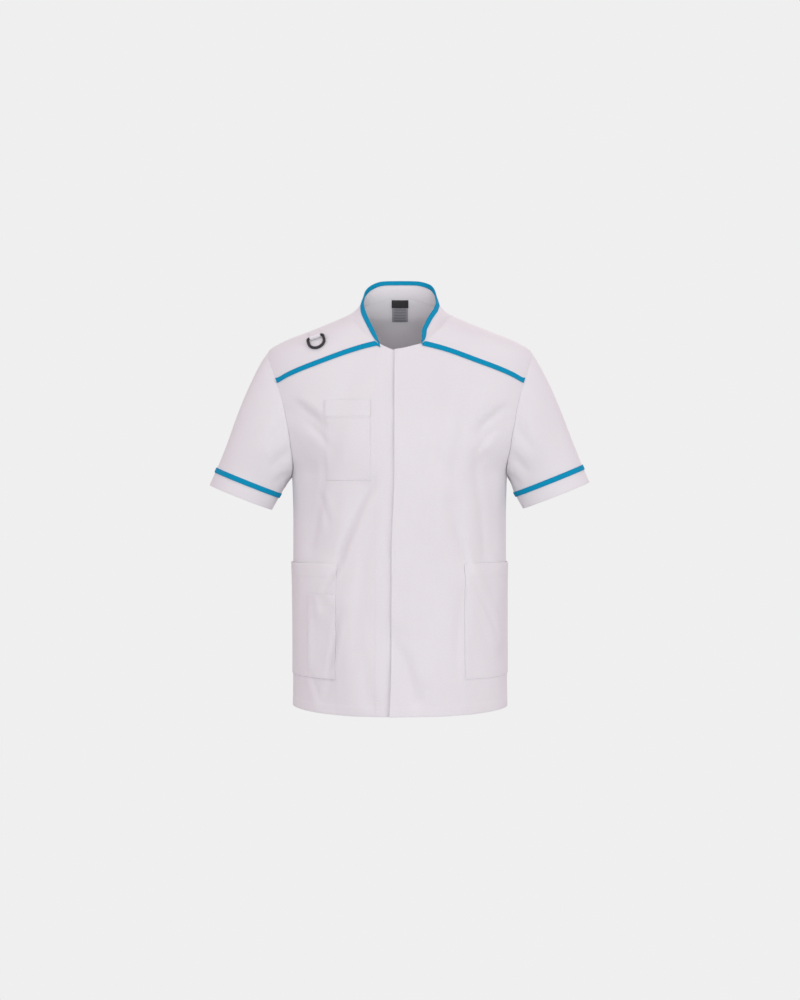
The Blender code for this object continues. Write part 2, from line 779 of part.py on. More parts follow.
def trim_ends(above):
    """Where a line of the yoke trim starts by the collar and ends by the armhole, above its middle."""
    start = NECK_CORNER_X + TRIM_END_GAP + TRIM_MITRE * max(above, 0)
    height = YOKE_END + above
    end = bare_skin(armhole_angle(armhole_turn(height), FRONT), height)[0]
    return start, end - TRIM_END_GAP


def make_yoke_piping(blue, collection):
    """Flat trim over the seam between front and yoke."""
    for side, name in SIDES:
        seam_x = yoke_seam_x(side)
        corner = int(np.argmin(np.abs(seam_x - NECK_CORNER_X)))
        distances, heights = [], []
        for above in (-TRIM_WIDTH / 2, 0.0, TRIM_WIDTH / 2):
            x = seam_x[corner:].copy()
            x[0], x[-1] = trim_ends(above)
            distances.append(x)
            heights.append(smooth(YOKE_SEAM, x) + above)
        heights = np.array(heights)
        angles = side * angle_at(np.array(distances), heights, FRONT)
        low = 2 * LIFT
        panel(
            f"piping_yoke_{name}",
            angles,
            heights,
            blue,
            collection,
            outer=low + TRIM_THICKNESS,
            inner=low,
        )


def collar_base():
    """The neck seam from the wearer's right corner round the back to the left corner."""
    angles, heights = yoke_grid(LEFT)
    half, _ = skin(angles[:, 0], heights[:, 0])
    back_angles, back_heights = half_back_grid()
    across, _ = skin(
        back_angles[-1, BACK_NECK_STEPS::-1], back_heights[-1, BACK_NECK_STEPS::-1]
    )
    left = np.concatenate([half, across[1:]])
    middles = (left[:-1] + left[1:]) / 2
    left = np.insert(left, range(1, len(left)), middles, axis=0)
    steps = np.linalg.norm(np.diff(left, axis=0), axis=1)
    share = np.concatenate([[0], np.cumsum(steps)]) / steps.sum()
    return left, share


def mirrored(left):
    """The wearer's right half before the left half, which ends on the centre line."""
    right = left[:-1] * (-1, 1, 1)
    return np.concatenate([right, left[::-1]])


def collar_top(share, side):
    """The collar's top edge on one side of the neck, from the neck corner to the centre back."""
    lean, flare, stand = COLLAR_LEAN[side]
    top = np.stack([smooth(COLLAR_TOP, share, k) for k in (1, 2, 3)], axis=-1)
    top[:, 0] -= lean * ease(0.0, 0.19, share) * ease(0.54, 0.30, share)
    top[:, 0] += flare * ease(0.08, 0.0, share)
    top[:, 2] += stand * np.exp(-(((share - 0.72) / 0.10) ** 2)) - HOLD_HEIGHT
    return top * (side, 1, 1)


def collar_grid():
    """Rows from the neck seam to the top edge, the last as tall as the binding and straight."""
    base, share = collar_base()
    top = np.concatenate([collar_top(share, RIGHT)[:-1], collar_top(share, LEFT)[::-1]])
    hollow = COLLAR_HOLLOW * ease(0.0, 0.35, np.concatenate([share[:-1], share[::-1]]))
    base = mirrored(base)
    rise = top - base
    tall = np.linalg.norm(rise, axis=1)
    base = base + rise / tall[:, None] * COLLAR_SEAM_RISE
    along = np.gradient(base, axis=0)
    outward = np.cross(along, rise)
    outward /= np.linalg.norm(outward, axis=1, keepdims=True)
    outward *= np.sign((outward * (base - (0, 0.01, 0))).sum(axis=1).mean())
    bound = 1 - np.minimum(BINDING_WIDTH, tall - BINDING_SEAM_GAP) / tall
    rows = []
    for row in range(COLLAR_ROWS):
        t = bound * row / (COLLAR_ROWS - 1)
        inward = outward * (hollow * np.sin(math.pi * t))[:, None]
        rows.append(base + (top - base) * t[:, None] - inward)
    rows.append(top)
    return np.array(rows), outward


def make_collar(white, blue, collection):
    grid, outward = collar_grid()
    wall_object(
        "collar",
        grid,
        grid - outward[None] * WALL,
        white,
        collection,
    )
    top, fall = grid[-1], grid[-2] - grid[-1]
    leg = np.linalg.norm(fall, axis=1, keepdims=True)
    down = fall / leg
    middle = top - outward * WALL / 2
    inside = WALL / 2 + LIFT
    outside = inside + BINDING_LEG
    over = LIFT + BINDING_LEG
    profile = (
        (leg, outside),
        (0 * leg, outside),
        (0 * leg - over, 0.55 * outside),
        (0 * leg - over, -0.55 * outside),
        (0 * leg, -outside),
        (leg, -outside),
        (leg, -inside),
        (0 * leg - LIFT, -inside),
        (0 * leg - LIFT, inside),
        (leg, inside),
    )
    swept_strip(
        "binding_collar",
        [middle + down * below + outward * out for below, out in profile],
        (0, 1, 2, 6, 7),
        blue,
        collection,
    )


def swept_strip(name, lines, rising, finish, collection):
    """A closed profile carried along a line: a list of points for each corner, and the sides that rise."""
    mesh = bpy.data.meshes.new(name)
    shell = bmesh.new()
    rings = [[shell.verts.new(p) for p in station] for station in zip(*lines)]
    count = len(lines)
    for first, second in zip(rings, rings[1:]):
        for k in range(count):
            n = (k + 1) % count
            if k in rising:
                add_quad(shell, first[k], first[n], second[n], second[k])
            else:
                add_quad(shell, first[n], second[n], second[k], first[k])
    for ring in (rings[0], rings[-1]):
        for cap in ((0, 1, 8, 9), (1, 2, 3, 4, 7, 8), (4, 5, 6, 7)):
            shell.faces.new([ring[k] for k in cap])
    bmesh.ops.recalc_face_normals(shell, faces=shell.faces)
    shell.to_mesh(mesh)
    shell.free()
    return finished(name, mesh, finish, collection)


def make_labels(black, grey, collection):
    """Two plain labels that hang from the collar seam inside the back."""
    for name, (half, top, bottom), finish in (
        ("neck_label", BRAND_LABEL, black),
        ("care_label", CARE_LABEL, grey),
    ):
        x = np.linspace(-half, half, 5)
        heights = np.repeat(np.linspace(bottom, top, 4), 5).reshape(4, 5)
        angles = angle_at(np.tile(x, (4, 1)), heights, BACK)
        panel(
            name,
            angles,
            heights,
            finish,
            collection,
            outer=-LABEL_INSET,
            inner=-LABEL_INSET - LABEL_THICKNESS,
        )


def ring_frame():
    """Where the ring's bar lies: across is along the bar, down is down the slope, out is off the cloth."""
    angle = float(angle_at(RING_X, RING_HEIGHT, FRONT))
    points, normals = skin(angle, RING_HEIGHT)
    out = Vector(normals)
    level = Vector((0, 0, 1)).cross(out).normalized()
    down = level.cross(out).normalized()
    if down.z > 0:
        down = -down
    across = down.cross(out).normalized()
    turned = Matrix.Rotation(RING_TURN, 3, out)
    across, down = turned @ across, turned @ down
    frame = Matrix((across, down, out)).transposed().to_4x4()
    frame.translation = Vector(points)
    return frame


def ring_outline():
    """Centre line of the ring's wire, in its own plane: the bar lies along X and the bow hangs down Y."""
    corner = RING_CORNER
    half = RING_HALF_WIDTH
    points = []
    for centre_x, start in ((-half + corner, 180), (half - corner, 270)):
        for k in range(4):
            turn = math.radians(start + 30 * k)
            points.append(
                (
                    centre_x + corner * math.cos(turn),
                    corner + corner * math.sin(turn),
                )
            )
    for k in range(RING_ROUND_STEPS + 1):
        turn = math.pi * k / RING_ROUND_STEPS
        points.append((half * math.cos(turn), RING_SIDE + half * math.sin(turn)))
    return points


def make_ring(plastic, white, collection):
    frame = ring_frame()
    bar_height = LIFT + 2 * TAPE_PLY + TAPE_CLEARANCE + RING_WIRE
    pivot = frame @ Matrix.Translation((0, 0, bar_height))

    curve = bpy.data.curves.new("d_ring", "CURVE")
    curve.dimensions = "3D"
    curve.bevel_depth = RING_WIRE
    curve.bevel_resolution = 2
    outline = ring_outline()
    spline = curve.splines.new("POLY")
    spline.points.add(len(outline) - 1)
    for point, (x, y) in zip(spline.points, outline):
        point.co = (x, y, 0, 1)
    spline.use_cyclic_u = True
    curve.materials.append(plastic)
    ring = bpy.data.objects.new("d_ring", curve)
    collection.objects.link(ring)
    ring.matrix_world = pivot @ Matrix.Rotation(-RING_DROOP, 4, "X")

    make_tape(frame, bar_height, white, collection)


def make_tape(frame, bar_height, white, collection):
    """Tape folded round the ring's bar, its two plies sewn down up the slope."""
    inner = RING_WIRE + TAPE_CLEARANCE
    outer = inner + TAPE_PLY
    flat = 2 * TAPE_PLY - bar_height + LIFT
    lean = math.asin(-flat / outer)
    loop = [(-TAPE_TAIL, -bar_height + LIFT), (-TAPE_TAIL, flat)]
    top = math.pi - lean * 0.35
    for k in range(13):
        turn = top - (top + math.pi / 2) * k / 12
        loop.append((outer * math.cos(turn), outer * math.sin(turn)))
    hole = [
        (inner * math.cos(2 * math.pi * k / 16), inner * math.sin(2 * math.pi * k / 16))
        for k in range(16)
    ]
    curve = bpy.data.curves.new("ring_tape", "CURVE")
    curve.dimensions = "2D"
    curve.fill_mode = "BOTH"
    curve.extrude = TAPE_WIDTH / 2
    for outline in (loop, hole):
        spline = curve.splines.new("POLY")
        spline.points.add(len(outline) - 1)
        for point, (x, y) in zip(spline.points, outline):
            point.co = (x, y, 0, 1)
        spline.use_cyclic_u = True
    curve.materials.append(white)
    tape = bpy.data.objects.new("ring_tape", curve)
    collection.objects.link(tape)
    # The outline's X runs down the slope, its Y off the cloth and its depth along the bar.
    turn = Matrix(((0, 0, 1, 0), (1, 0, 0, 0), (0, 1, 0, 0), (0, 0, 0, 1)))
    tape.matrix_world = frame @ Matrix.Translation((0, 0, bar_height)) @ turn


def main():
    for obj in list(bpy.data.objects):
        bpy.data.objects.remove(obj, do_unlink=True)
    collection = bpy.data.collections.new("medical_tunic")
    bpy.context.scene.collection.children.link(collection)
    white = material("white_polycotton", WHITE, 0.85)
    blue = material("blue_trim", BLUE, 0.7)
    black = material("black_label", BLACK, 0.7)
    grey = material("grey_label", GREY, 0.8)
    plastic = material("black_ring", BLACK, 0.4)
    make_fronts(white, collection)
    make_back(white, collection)
    make_yokes(white, collection)
    make_sleeves(white, blue, collection)
    make_collar(white, blue, collection)
    make_yoke_piping(blue, collection)
    make_pockets(white, collection)
    make_labels(black, grey, collection)
    make_ring(plastic, white, collection)


main()
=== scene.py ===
"""Looks of a short-sleeved medical tunic, filled out as it is worn, with no wearer in it.

Metres, +Z up, +X to the wearer's left, -Y to the front. The origin is midway between the neck ends
of the shoulder seams. Every cloth panel is cut on the same trunk, sleeves and collar as its CAD
solid, with its creases, folded edges and seams. A point of the trunk is an angle and a height: the
angle is 0 at the centre front and 90 degrees at the wearer's left side, and the height is above
the hem.
"""

import math

import bpy
import numpy as np
from mathutils import Matrix, Vector


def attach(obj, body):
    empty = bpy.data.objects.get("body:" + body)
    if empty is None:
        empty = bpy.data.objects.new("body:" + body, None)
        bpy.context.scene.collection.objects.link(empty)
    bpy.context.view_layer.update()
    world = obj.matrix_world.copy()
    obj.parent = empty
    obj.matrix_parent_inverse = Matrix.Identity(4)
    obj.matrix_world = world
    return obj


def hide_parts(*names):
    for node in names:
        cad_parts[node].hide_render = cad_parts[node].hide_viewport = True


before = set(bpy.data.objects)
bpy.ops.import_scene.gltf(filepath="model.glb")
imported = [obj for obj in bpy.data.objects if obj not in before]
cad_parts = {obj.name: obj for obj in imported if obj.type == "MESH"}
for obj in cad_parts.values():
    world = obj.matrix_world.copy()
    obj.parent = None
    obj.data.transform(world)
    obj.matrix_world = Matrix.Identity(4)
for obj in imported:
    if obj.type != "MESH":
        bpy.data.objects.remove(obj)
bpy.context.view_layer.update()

# Cloth and seams
WALL = 0.0012
FINE_WALL = 0.0006
LIFT = 0.0003
PLY_GAP = 0.0002
FRONT, BACK = 1, -1
RIGHT, LEFT = -1, 1
SIDES = ((LEFT, "left"), (RIGHT, "right"))

# Heights above the hem
HEM = 0.0
HEM_STITCH = 0.018
HEM_SIDE_RISE = 0.0065
HEM_RISE_END = 0.11
HIP_POCKET_BOTTOM = 0.063
SMALL_POCKET_MOUTH = 0.213
HIP_POCKET_MOUTH = 0.268
CHEST_POCKET_BOTTOM = 0.415
UNDERARM = 0.426
CHEST_POCKET_MOUTH = 0.558
YOKE_END = 0.596
NECK_LOW = 0.649
SHOULDER_TIP = 0.6525
NECK_CORNER = 0.661
SHOULDER_NECK = 0.7205
BACK_NECK = 0.7570
BACK_NECK_CURVE = 1.4
HOLD_HEIGHT = SHOULDER_NECK

# Distances from the centre line
RIGHT_UNDERLAP = 0.022
NECK_LOW_X = -0.010
NECK_CORNER_X = 0.039
CHEST_POCKET_INNER_X = 0.052
HIP_POCKET_INNER_X = 0.1145
CHEST_POCKET_OUTER_X = 0.134
PLACKET_STITCH_X = 0.045

# Side seam and armhole, in degrees round the trunk
SIDE_SEAM_AT_UNDERARM = 90.0
SIDE_SEAM_AT_HIP = 97.0
ARMHOLE_FRONT_REACH = 33.0
ARMHOLE_BACK_REACH = 31.0

# How finely the cloth is divided
CLOTH_STEP = 0.0045
SIDE_STEPS = 30
ARMHOLE_LOW_STEPS = 32
ARMHOLE_MID_STEPS = 15
YOKE_ROWS = 28
BACK_TOP_ROWS = 44
BACK_NECK_STEPS = 28
SHOULDER_STEPS = 30
SLEEVE_ROUND_STEPS = 62
SLEEVE_ROWS = 46
HIP_POCKET_COLUMNS = 36
SMALL_POCKET_COLUMNS = 15
CHEST_POCKET_COLUMNS = 20
TRIM_LINES = 7
TRIM_COLUMNS = 52
BINDING_LEG_LINES = 6
BINDING_FOLD_LINES = 7
LABEL_COLUMNS = 13
LABEL_ROWS = 11
BAND_ROWS = 9
RING_SIDES = 20
RING_BOW_STEPS = 45
TAPE_COLUMNS = 9

# Horizontal sections of the trunk, from the hem to the neck
TRUNK_COLUMNS = ("height", "half_width", "front", "back", "side_line", "squareness")
TRUNK = (
    (0.0000, 0.1970, 0.1500, 0.1330, 0.000, 2.06),
    (0.0800, 0.1965, 0.1490, 0.1290, 0.000, 2.06),
    (0.2300, 0.1955, 0.1450, 0.1230, 0.000, 2.08),
    (0.3400, 0.1950, 0.1410, 0.1240, 0.000, 2.10),
    (0.4260, 0.1970, 0.1380, 0.1290, 0.000, 2.12),
    (0.4800, 0.2225, 0.1340, 0.1320, 0.000, 2.18),
    (0.5350, 0.2430, 0.1290, 0.1300, 0.002, 2.26),
    (0.5960, 0.2500, 0.1180, 0.1220, 0.004, 2.35),
    (0.6300, 0.2490, 0.1070, 0.1130, 0.005, 2.40),
    (0.6525, 0.2410, 0.0980, 0.1040, 0.006, 2.40),
    (0.6690, 0.2160, 0.0910, 0.0970, 0.007, 2.38),
    (0.6910, 0.1620, 0.0810, 0.0875, 0.008, 2.32),
    (0.7100, 0.1165, 0.0710, 0.0785, 0.008, 2.20),
    (0.7205, 0.0960, 0.0650, 0.0730, 0.008, 2.10),
    (0.7520, 0.0780, 0.0560, 0.0650, 0.008, 2.00),
)
TRUNK_RADIUS = 0.175

# The left front's free edge, which laps over the right front
LAP_EDGE = (
    (0.000, -0.0185), (0.100, -0.0155), (0.300, -0.0150),
    (0.420, -0.0105), (0.600, -0.0105), (0.649, -0.0100),
)
LAP_STEP = WALL + 0.0007
LAP_INNER_X = 0.0195
LAP_OUTER_X = 0.037

# Seam between front and yoke, from the neck corner to the armhole: distance from the centre, height
YOKE_SEAM = (
    (0.0390, 0.6610), (0.0620, 0.6555), (0.0900, 0.6470),
    (0.1450, 0.6270), (0.2000, 0.6060), (0.2200, 0.5960),
)

# Seam between yoke and collar, from the neck corner to the shoulder: height, distance from the centre
NECK_SEAM = (
    (0.6610, 0.0390), (0.6695, 0.0505), (0.6790, 0.0620),
    (0.6935, 0.0765), (0.7080, 0.0865), (0.7205, 0.0960),
)

# The collar's top edge, by its share of the way from the neck corner to the centre back
COLLAR_TOP = (
    (0.000, 0.0365, -0.0800, 0.6660),
    (0.115, 0.0470, -0.0680, 0.6810),
    (0.250, 0.0560, -0.0500, 0.6990),
    (0.370, 0.0635, -0.0280, 0.7180),
    (0.500, 0.0680, 0.0010, 0.7400),
    (0.630, 0.0655, 0.0300, 0.7610),
    (0.760, 0.0550, 0.0540, 0.7770),
    (0.880, 0.0340, 0.0710, 0.7884),
    (0.940, 0.0172, 0.0757, 0.7899),
    (1.000, 0.0000, 0.0770, 0.7902),
)
COLLAR_ROWS = 9
COLLAR_SEAM_RISE = -0.0006
COLLAR_HOLLOW = 0.0035

# How far the collar's top edge leans in at each side of the neck, starts further out at the corner,
# and stands up towards the back
COLLAR_LEAN = {RIGHT: (0.0025, 0.0022, 0.0020), LEFT: (0.0100, 0.0020, 0.0050)}

# Largest folds, in millimetres: face, start and end as distance from the centre and height above the
# hem, half width, and how high the fold stands
FOLDS = (
    (FRONT, -62, 403, -110, 280, 17, -4),
    (FRONT, 97, 371, 117, 262, 17, -3),
    (FRONT, 120, 250, 168, 130, 20, 3),
    (FRONT, -4, 138, 30, 30, 20, -3),
    (FRONT, -90, 190, -80, 20, 26, 4),
    (FRONT, -185, 535, -140, 505, 18, -4.5),
    (FRONT, 185, 530, 145, 500, 18, -4.5),
    (FRONT, -162, 470, -160, 300, 20, -3.5),
    (FRONT, 155, 450, 158, 290, 20, -3.5),
    (BACK, -60, 330, -85, 40, 26, 4.5),
    (BACK, 65, 350, 80, 50, 26, 4),
    (BACK, -180, 520, -110, 420, 22, -4.5),
    (BACK, 180, 520, 115, 415, 22, -4.5),
)

# Creases, in millimetres: face, start and end as for the folds, bow to the side, half width, depth
CREASES = (
    (FRONT, -118, 258, -44, 418, -6, 6, 4.4),
    (FRONT, -111, 258, -62, 374, -2, 4.8, 2.6),
    (FRONT, 121, 257, 98.5, 332, 2, 6, 3.6),
    (FRONT, 172, 134, 114, 259, 3, 7.5, 2.6),
    (FRONT, 160, 100, 136, 176, 2, 7, 1.2),
    (FRONT, -129, 68, -111, 170, 2, 5.5, 3),
    (FRONT, 26, 26, -12, 136, 3, 8.5, 3.2),
    (FRONT, 30, 16, 50, 60, 1, 6, 1.2),
    (FRONT, -34, 250, -31, 276, 1, 4.5, 1.8),
    (FRONT, -137, 221, -114, 259, 1, 5, 2.6),
    (FRONT, -160, 74, -141, 18, -2, 6.5, 1.6),
    (FRONT, -118, 74, -139, 18, 2, 6.5, 1.4),
    (FRONT, -140, 512, -190, 556, 4, 8, 3.2),
    (FRONT, -128, 474, -170, 520, 3, 7, 2),
    (FRONT, 142, 506, 192, 548, -4, 8, 3.2),
    (FRONT, 134, 462, 172, 508, -3, 7, 1.8),
    (FRONT, -114.4, 0, -114.4, 60, 0, 2.2, 1),
    (FRONT, 107.5, 0, 109, 60, 0, 2.2, 1),
    (FRONT, 86, 20, 62, 120, 3, 9, 1.8),
    (FRONT, -52, 12, -60, 112, -2, 8.5, 1.8),
    (FRONT, -128, 330, -150, 395, 4, 7, 1.8),
    (FRONT, 82, 408, 60, 470, 3, 9, 1.6),
    (FRONT, 44, 250, 60, 620, 6, 12, 2.2),
    (FRONT, 98, 380, 130, 620, -6, 13, 2.4),
    (FRONT, -130, 420, -72, 640, 8, 14, 2.6),
    (FRONT, -165, 290, -145, 470, 4, 10, 1.8),
    (FRONT, -78, 60, -56, 330, -5, 12, 1.8),
    (FRONT, 68, 80, 42, 340, 6, 13, 1.8),
    (FRONT, 155, 280, 138, 460, 4, 10, 1.8),
    (FRONT, 100, 10, 112, 220, -4, 9, 1.6),
    (BACK, -186, 545, -118, 452, 8, 8.5, 4.2),
    (BACK, 186, 540, 124, 446, -7, 8.5, 4),
    (BACK, -164, 498, -104, 414, 6, 7, 2.4),
    (BACK, 158, 480, 112, 398, -4, 6.5, 2),
    (BACK, -40, 372, -70, 300, 4, 7.5, 2.6),
    (BACK, 48, 388, 82, 290, -6, 7.5, 3),
    (BACK, 118, 340, 150, 240, 6, 7, 2.4),
    (BACK, -122, 318, -150, 212, -4, 7, 2.4),
    (BACK, -18, 180, -34, 30, 4, 9.5, 2.4),
    (BACK, 110, 170, 124, 20, 3, 9, 2.2),
    (BACK, 20, 640, 32, 560, 2, 9, 1.6),
    (BACK, -50, 400, -78, 610, 8, 17, 3.6),
    (BACK, 64, 420, 92, 630, -7, 16, 3.4),
    (BACK, 6, 280, -12, 520, 6, 15, 3),
    (BACK, -98, 60, -70, 240, -6, 15, 3.4),
    (BACK, 52, 40, 70, 230, 5, 15, 3.2),
)

# Random unevenness of the trunk's cloth: size across, size down, height and seed
UNEVENNESS = (
    (0.070, 0.200, 0.0032, 11),
    (0.030, 0.090, 0.0019, 23),
    (0.012, 0.026, 0.00042, 37),
)
HILL_ROWS = 97

# Press studs of the hidden fastening, which show through the left front
STUD_X = 0.0035
STUD_PITCH = 0.1
STUD_HEIGHTS = (0.1340, 0.2340, 0.3341, 0.4342, 0.5343, 0.6344)
STUD_RADIUS = 0.0055
STUD_RISE = 0.0006

# Cuff of each sleeve: its centre's distance from the centre line and height, half width, half depth
CUFFS = {
    RIGHT: (0.2918, 0.3852, 0.0612, 0.0650),
    LEFT: (0.2865, 0.3890, 0.0655, 0.0605),
}
CUFF_Y = -0.002
CUFF_TILT = math.radians(21.8)
BAND_LEAN = math.radians(26.5)
BAND_DEPTH = 0.030
BAND_EASE = 0.0014
SLEEVE_START = Vector((0.56, 0.0, -0.83))
SLEEVE_FULLNESS = 0.20
SLEEVE_FOLD = 0.004
SLEEVE_RADIUS = 0.068
SLEEVE_LENGTH = 0.21

# Creases of the sleeves: side, start and end as degrees round from the underarm and share of the
# length, half width and depth
SLEEVE_CREASES = (
    (RIGHT, 52, 0.00, 66, 0.62, 0.0080, 0.0022),
    (RIGHT, 84, 0.02, 88, 0.48, 0.0070, 0.0012),
    (RIGHT, 24, 0.05, 44, 0.80, 0.0080, 0.0018),
    (RIGHT, 300, 0.00, 288, 0.66, 0.0090, 0.0024),
    (RIGHT, 330, 0.04, 312, 0.86, 0.0080, 0.0018),
    (LEFT, 48, 0.00, 62, 0.70, 0.0080, 0.0022),
    (LEFT, 76, 0.04, 84, 0.52, 0.0070, 0.0013),
    (LEFT, 20, 0.08, 40, 0.84, 0.0080, 0.0016),
    (LEFT, 304, 0.00, 290, 0.60, 0.0090, 0.0023),
    (LEFT, 334, 0.06, 318, 0.80, 0.0080, 0.0018),
)

# Random unevenness of the sleeves: height, cells round, rows down, first row and seed
SLEEVE_WAVES = ((0.0012, 8, 3, 20, 0), (0.0004, 19, 8, 40, 5))

# Pockets
HIP_BULGE = 0.0032
CHEST_BULGE = 0.0012
CHEST_MOUTH_HEM = 0.030
HIP_MOUTH_HEM = 0.026
SMALL_MOUTH_HEM = 0.020
SMALL_POCKET_SHARE = 0.23
SMALL_POCKET_STEP = 0.0035
POCKET_ROUNDING = 0.7
MOUTH_PROUD = 0.0002
CHEST_MOUTH_PROUD = 0.0009
MOUTH_CRUMPLE = 0.0030
SMALL_POCKET_STAND = 0.0020

# Small reliefs: how far each stands off the cloth, how deep it is or how far it reaches
PUCKER = 0.0003
PUCKER_PITCH = 0.006
PUCKER_REACH = 0.009
FREE_EDGE_REACH = 0.020
FREE_EDGE_STAND = 0.0015
FREE_EDGE_WAVE = 0.0012
FREE_EDGE_FLARE = 0.0022
HEM_STEP = 0.00022
HEM_DENT = 0.0002
PLACKET_STEP = 0.00018
STITCH_DENT = 0.0003
SEAM_ROUNDING = 0.0018

# Contrast trim
TRIM_WIDTH = 0.0095
TRIM_THICKNESS = 0.001
TRIM_DOME = 0.00025
TRIM_END_GAP = 0.0010
TRIM_MITRE = 1.15
BINDING_WIDTH = 0.0075
BINDING_LEG = 0.0009
BINDING_SEAM_GAP = 0.0015

# Where the binding ends over the yoke trim: distance from the centre and height of its two corners
BINDING_END = {RIGHT: ((0.0350, 0.6532), (0.0412, 0.6553)), LEFT: ((0.0382, 0.6590), (0.0412, 0.6596))}

# Labels inside the back neck: half width, top and bottom
NECK_LABEL = (0.0160, 0.7549, 0.7407)
CARE_LABEL = (0.0150, 0.7403, 0.7161)
LABEL_THICKNESS = 0.0006
LABEL_INSET = WALL + 0.0010
PRINT_PITCH = 0.0030
PRINT_HALF_WIDTH = 0.011

# Ring on the right yoke
RING_X = -0.1515
RING_HEIGHT = 0.6705
RING_TURN = math.radians(26.0)
RING_DROOP = math.radians(12.7)
RING_WIRE = 0.0026
RING_HALF_WIDTH = 0.0146
RING_SIDE = 0.0100
RING_CORNER = 0.0030
TAPE_WIDTH = 0.020
TAPE_PLY = 0.0008
TAPE_CLEARANCE = 0.0004
TAPE_TAIL = 0.024
TAPE_STITCHES = (("left", 0.0018), ("right", 0.0018), ("top", 0.0016))
BAR_HEIGHT = LIFT + 2 * TAPE_PLY + TAPE_CLEARANCE + RING_WIRE

# Sewing
STITCH_SIZES = {"Pitch": 0.0030, "Stitch Length": 0.0024, "Thread Width": 0.00042}
EDGE_STITCH = 0.0020
TRIM_STITCH = 0.0010
STITCH_SINK = -0.00016
EDGE_DENT_HALF_WIDTH = 0.0005
GROOVE_HALF_WIDTH = 0.0008
GROOVE_REACH = 0.0013

# Studio: camera, floor height, strength of the room's own light, and the soft lights with place, size,
# power and colour
CAMERA_PLACE = (0.0, -3.3, -0.34)
SENSOR_WIDTH = 36.0
LENS = 64.746
LIGHTS_AIM = Vector((0, 0, -0.35))
FLOOR = -1.62
FLOOR_RADIUS = 14
FLOOR_SIDES = 64
ROOM_LIGHT = 0.78
STUDIO_LIGHTS = (
    ("front", (0.20, -4.3, -0.45), 3.4, 52.0, "#F2FFFC"),
    ("left_flank", (3.0, -2.9, -0.10), 1.6, 19.0, "#F2FFFC"),
    ("right_flank", (-3.0, -2.9, 0.00), 1.6, 9.5, "#F2FFFC"),
    ("behind", (1.2, 3.6, 1.6), 2.2, 50.0, "#FFFDFD"),
)

# Finish of each kind of edge: distances of the loops of mesh from it, how far it reaches past the
# seam line, how far the cloth dips into the seam, and the depth of the groove under a stitch row
EDGES = {
    "seam": ((0.0002, 0.0006, 0.0018), 0.0003, 0.00030, 0.0),
    "fold": ((0.0002, 0.0006), 0.0, 0.0, 0.0),
    "stitched": ((0.0002, 0.0006, 0.0013, 0.0020, 0.0027), 0.0, 0.0, 0.00028),
}


# Shape of the trunk
def unit(vectors):
    return vectors / np.linalg.norm(vectors, axis=-1, keepdims=True)


def smooth(table, at, column=1):
    """A column of a table at values of its first column, by a monotone cubic through its rows."""
    xs, ys = np.array(table)[:, (0, column)].T
    step = np.diff(xs)
    slope = np.diff(ys) / step
    tangent = np.empty_like(ys)
    tangent[0], tangent[-1] = slope[0], slope[-1]
    same = slope[:-1] * slope[1:] > 0
    safe = np.where(same, slope[:-1] + slope[1:], 1.0)
    tangent[1:-1] = np.where(same, 2 * slope[:-1] * slope[1:] / safe, 0.0)
    at = np.clip(np.asarray(at, float), xs[0], xs[-1])
    k = np.clip(np.searchsorted(xs, at, side="right") - 1, 0, len(step) - 1)
    t = (at - xs[k]) / step[k]
    return bent(t, ys[k], step[k] * tangent[k], ys[k + 1], step[k] * tangent[k + 1])


def bent(t, start, leave, end, arrive):
    """A point at share t of a cubic that leaves its start and arrives at its end with these slopes."""
    return (
        (1 + 2 * t) * (1 - t) ** 2 * start
        + t * (1 - t) ** 2 * leave
        + t**2 * (3 - 2 * t) * end
        + t**2 * (t - 1) * arrive
    )


def trunk(name, height):
    return smooth(TRUNK, height, TRUNK_COLUMNS.index(name))


def ease(low, high, value):
    """0 at low, 1 at high, with a soft start and end."""
    t = np.clip((value - low) / (high - low), 0, 1)
    return t * t * (3 - 2 * t)


def bare_skin(angle, height):
    """The trunk without folds, at an angle in radians and a height above the hem."""
    power = 2 / trunk("squareness", height)
    across, along = np.sin(angle), np.cos(angle)
    depth = np.where(along > 0, trunk("front", height), trunk("back", height))
    x = trunk("half_width", height) * np.sign(across) * np.abs(across) ** power
    y = trunk("side_line", height) - depth * np.sign(along) * np.abs(along) ** power
    to_side = np.abs(x) / trunk("half_width", height)
    rise = HEM_SIDE_RISE * to_side**4 * ease(HEM_RISE_END, HEM, height)
    return np.stack([x, y, height - HOLD_HEIGHT + rise], axis=-1)


def skin_normal(angle, height):
    turn, rise = math.radians(1.5), 0.002
    around = bare_skin(angle + turn, height) - bare_skin(angle - turn, height)
    up = bare_skin(angle, height + rise) - bare_skin(angle, height - rise)
    return unit(np.cross(around, up))


def angle_at(x, height, face):
    """The angle of the skin point at a distance from the centre line on the front or the back."""
    share = np.clip(np.abs(x) / trunk("half_width", height), 0, 1) ** (
        trunk("squareness", height) / 2
    )
    from_centre = np.arcsin(share)
    angle = from_centre if face == FRONT else math.pi - from_centre
    return np.where(np.asarray(x) < 0, -angle, angle)


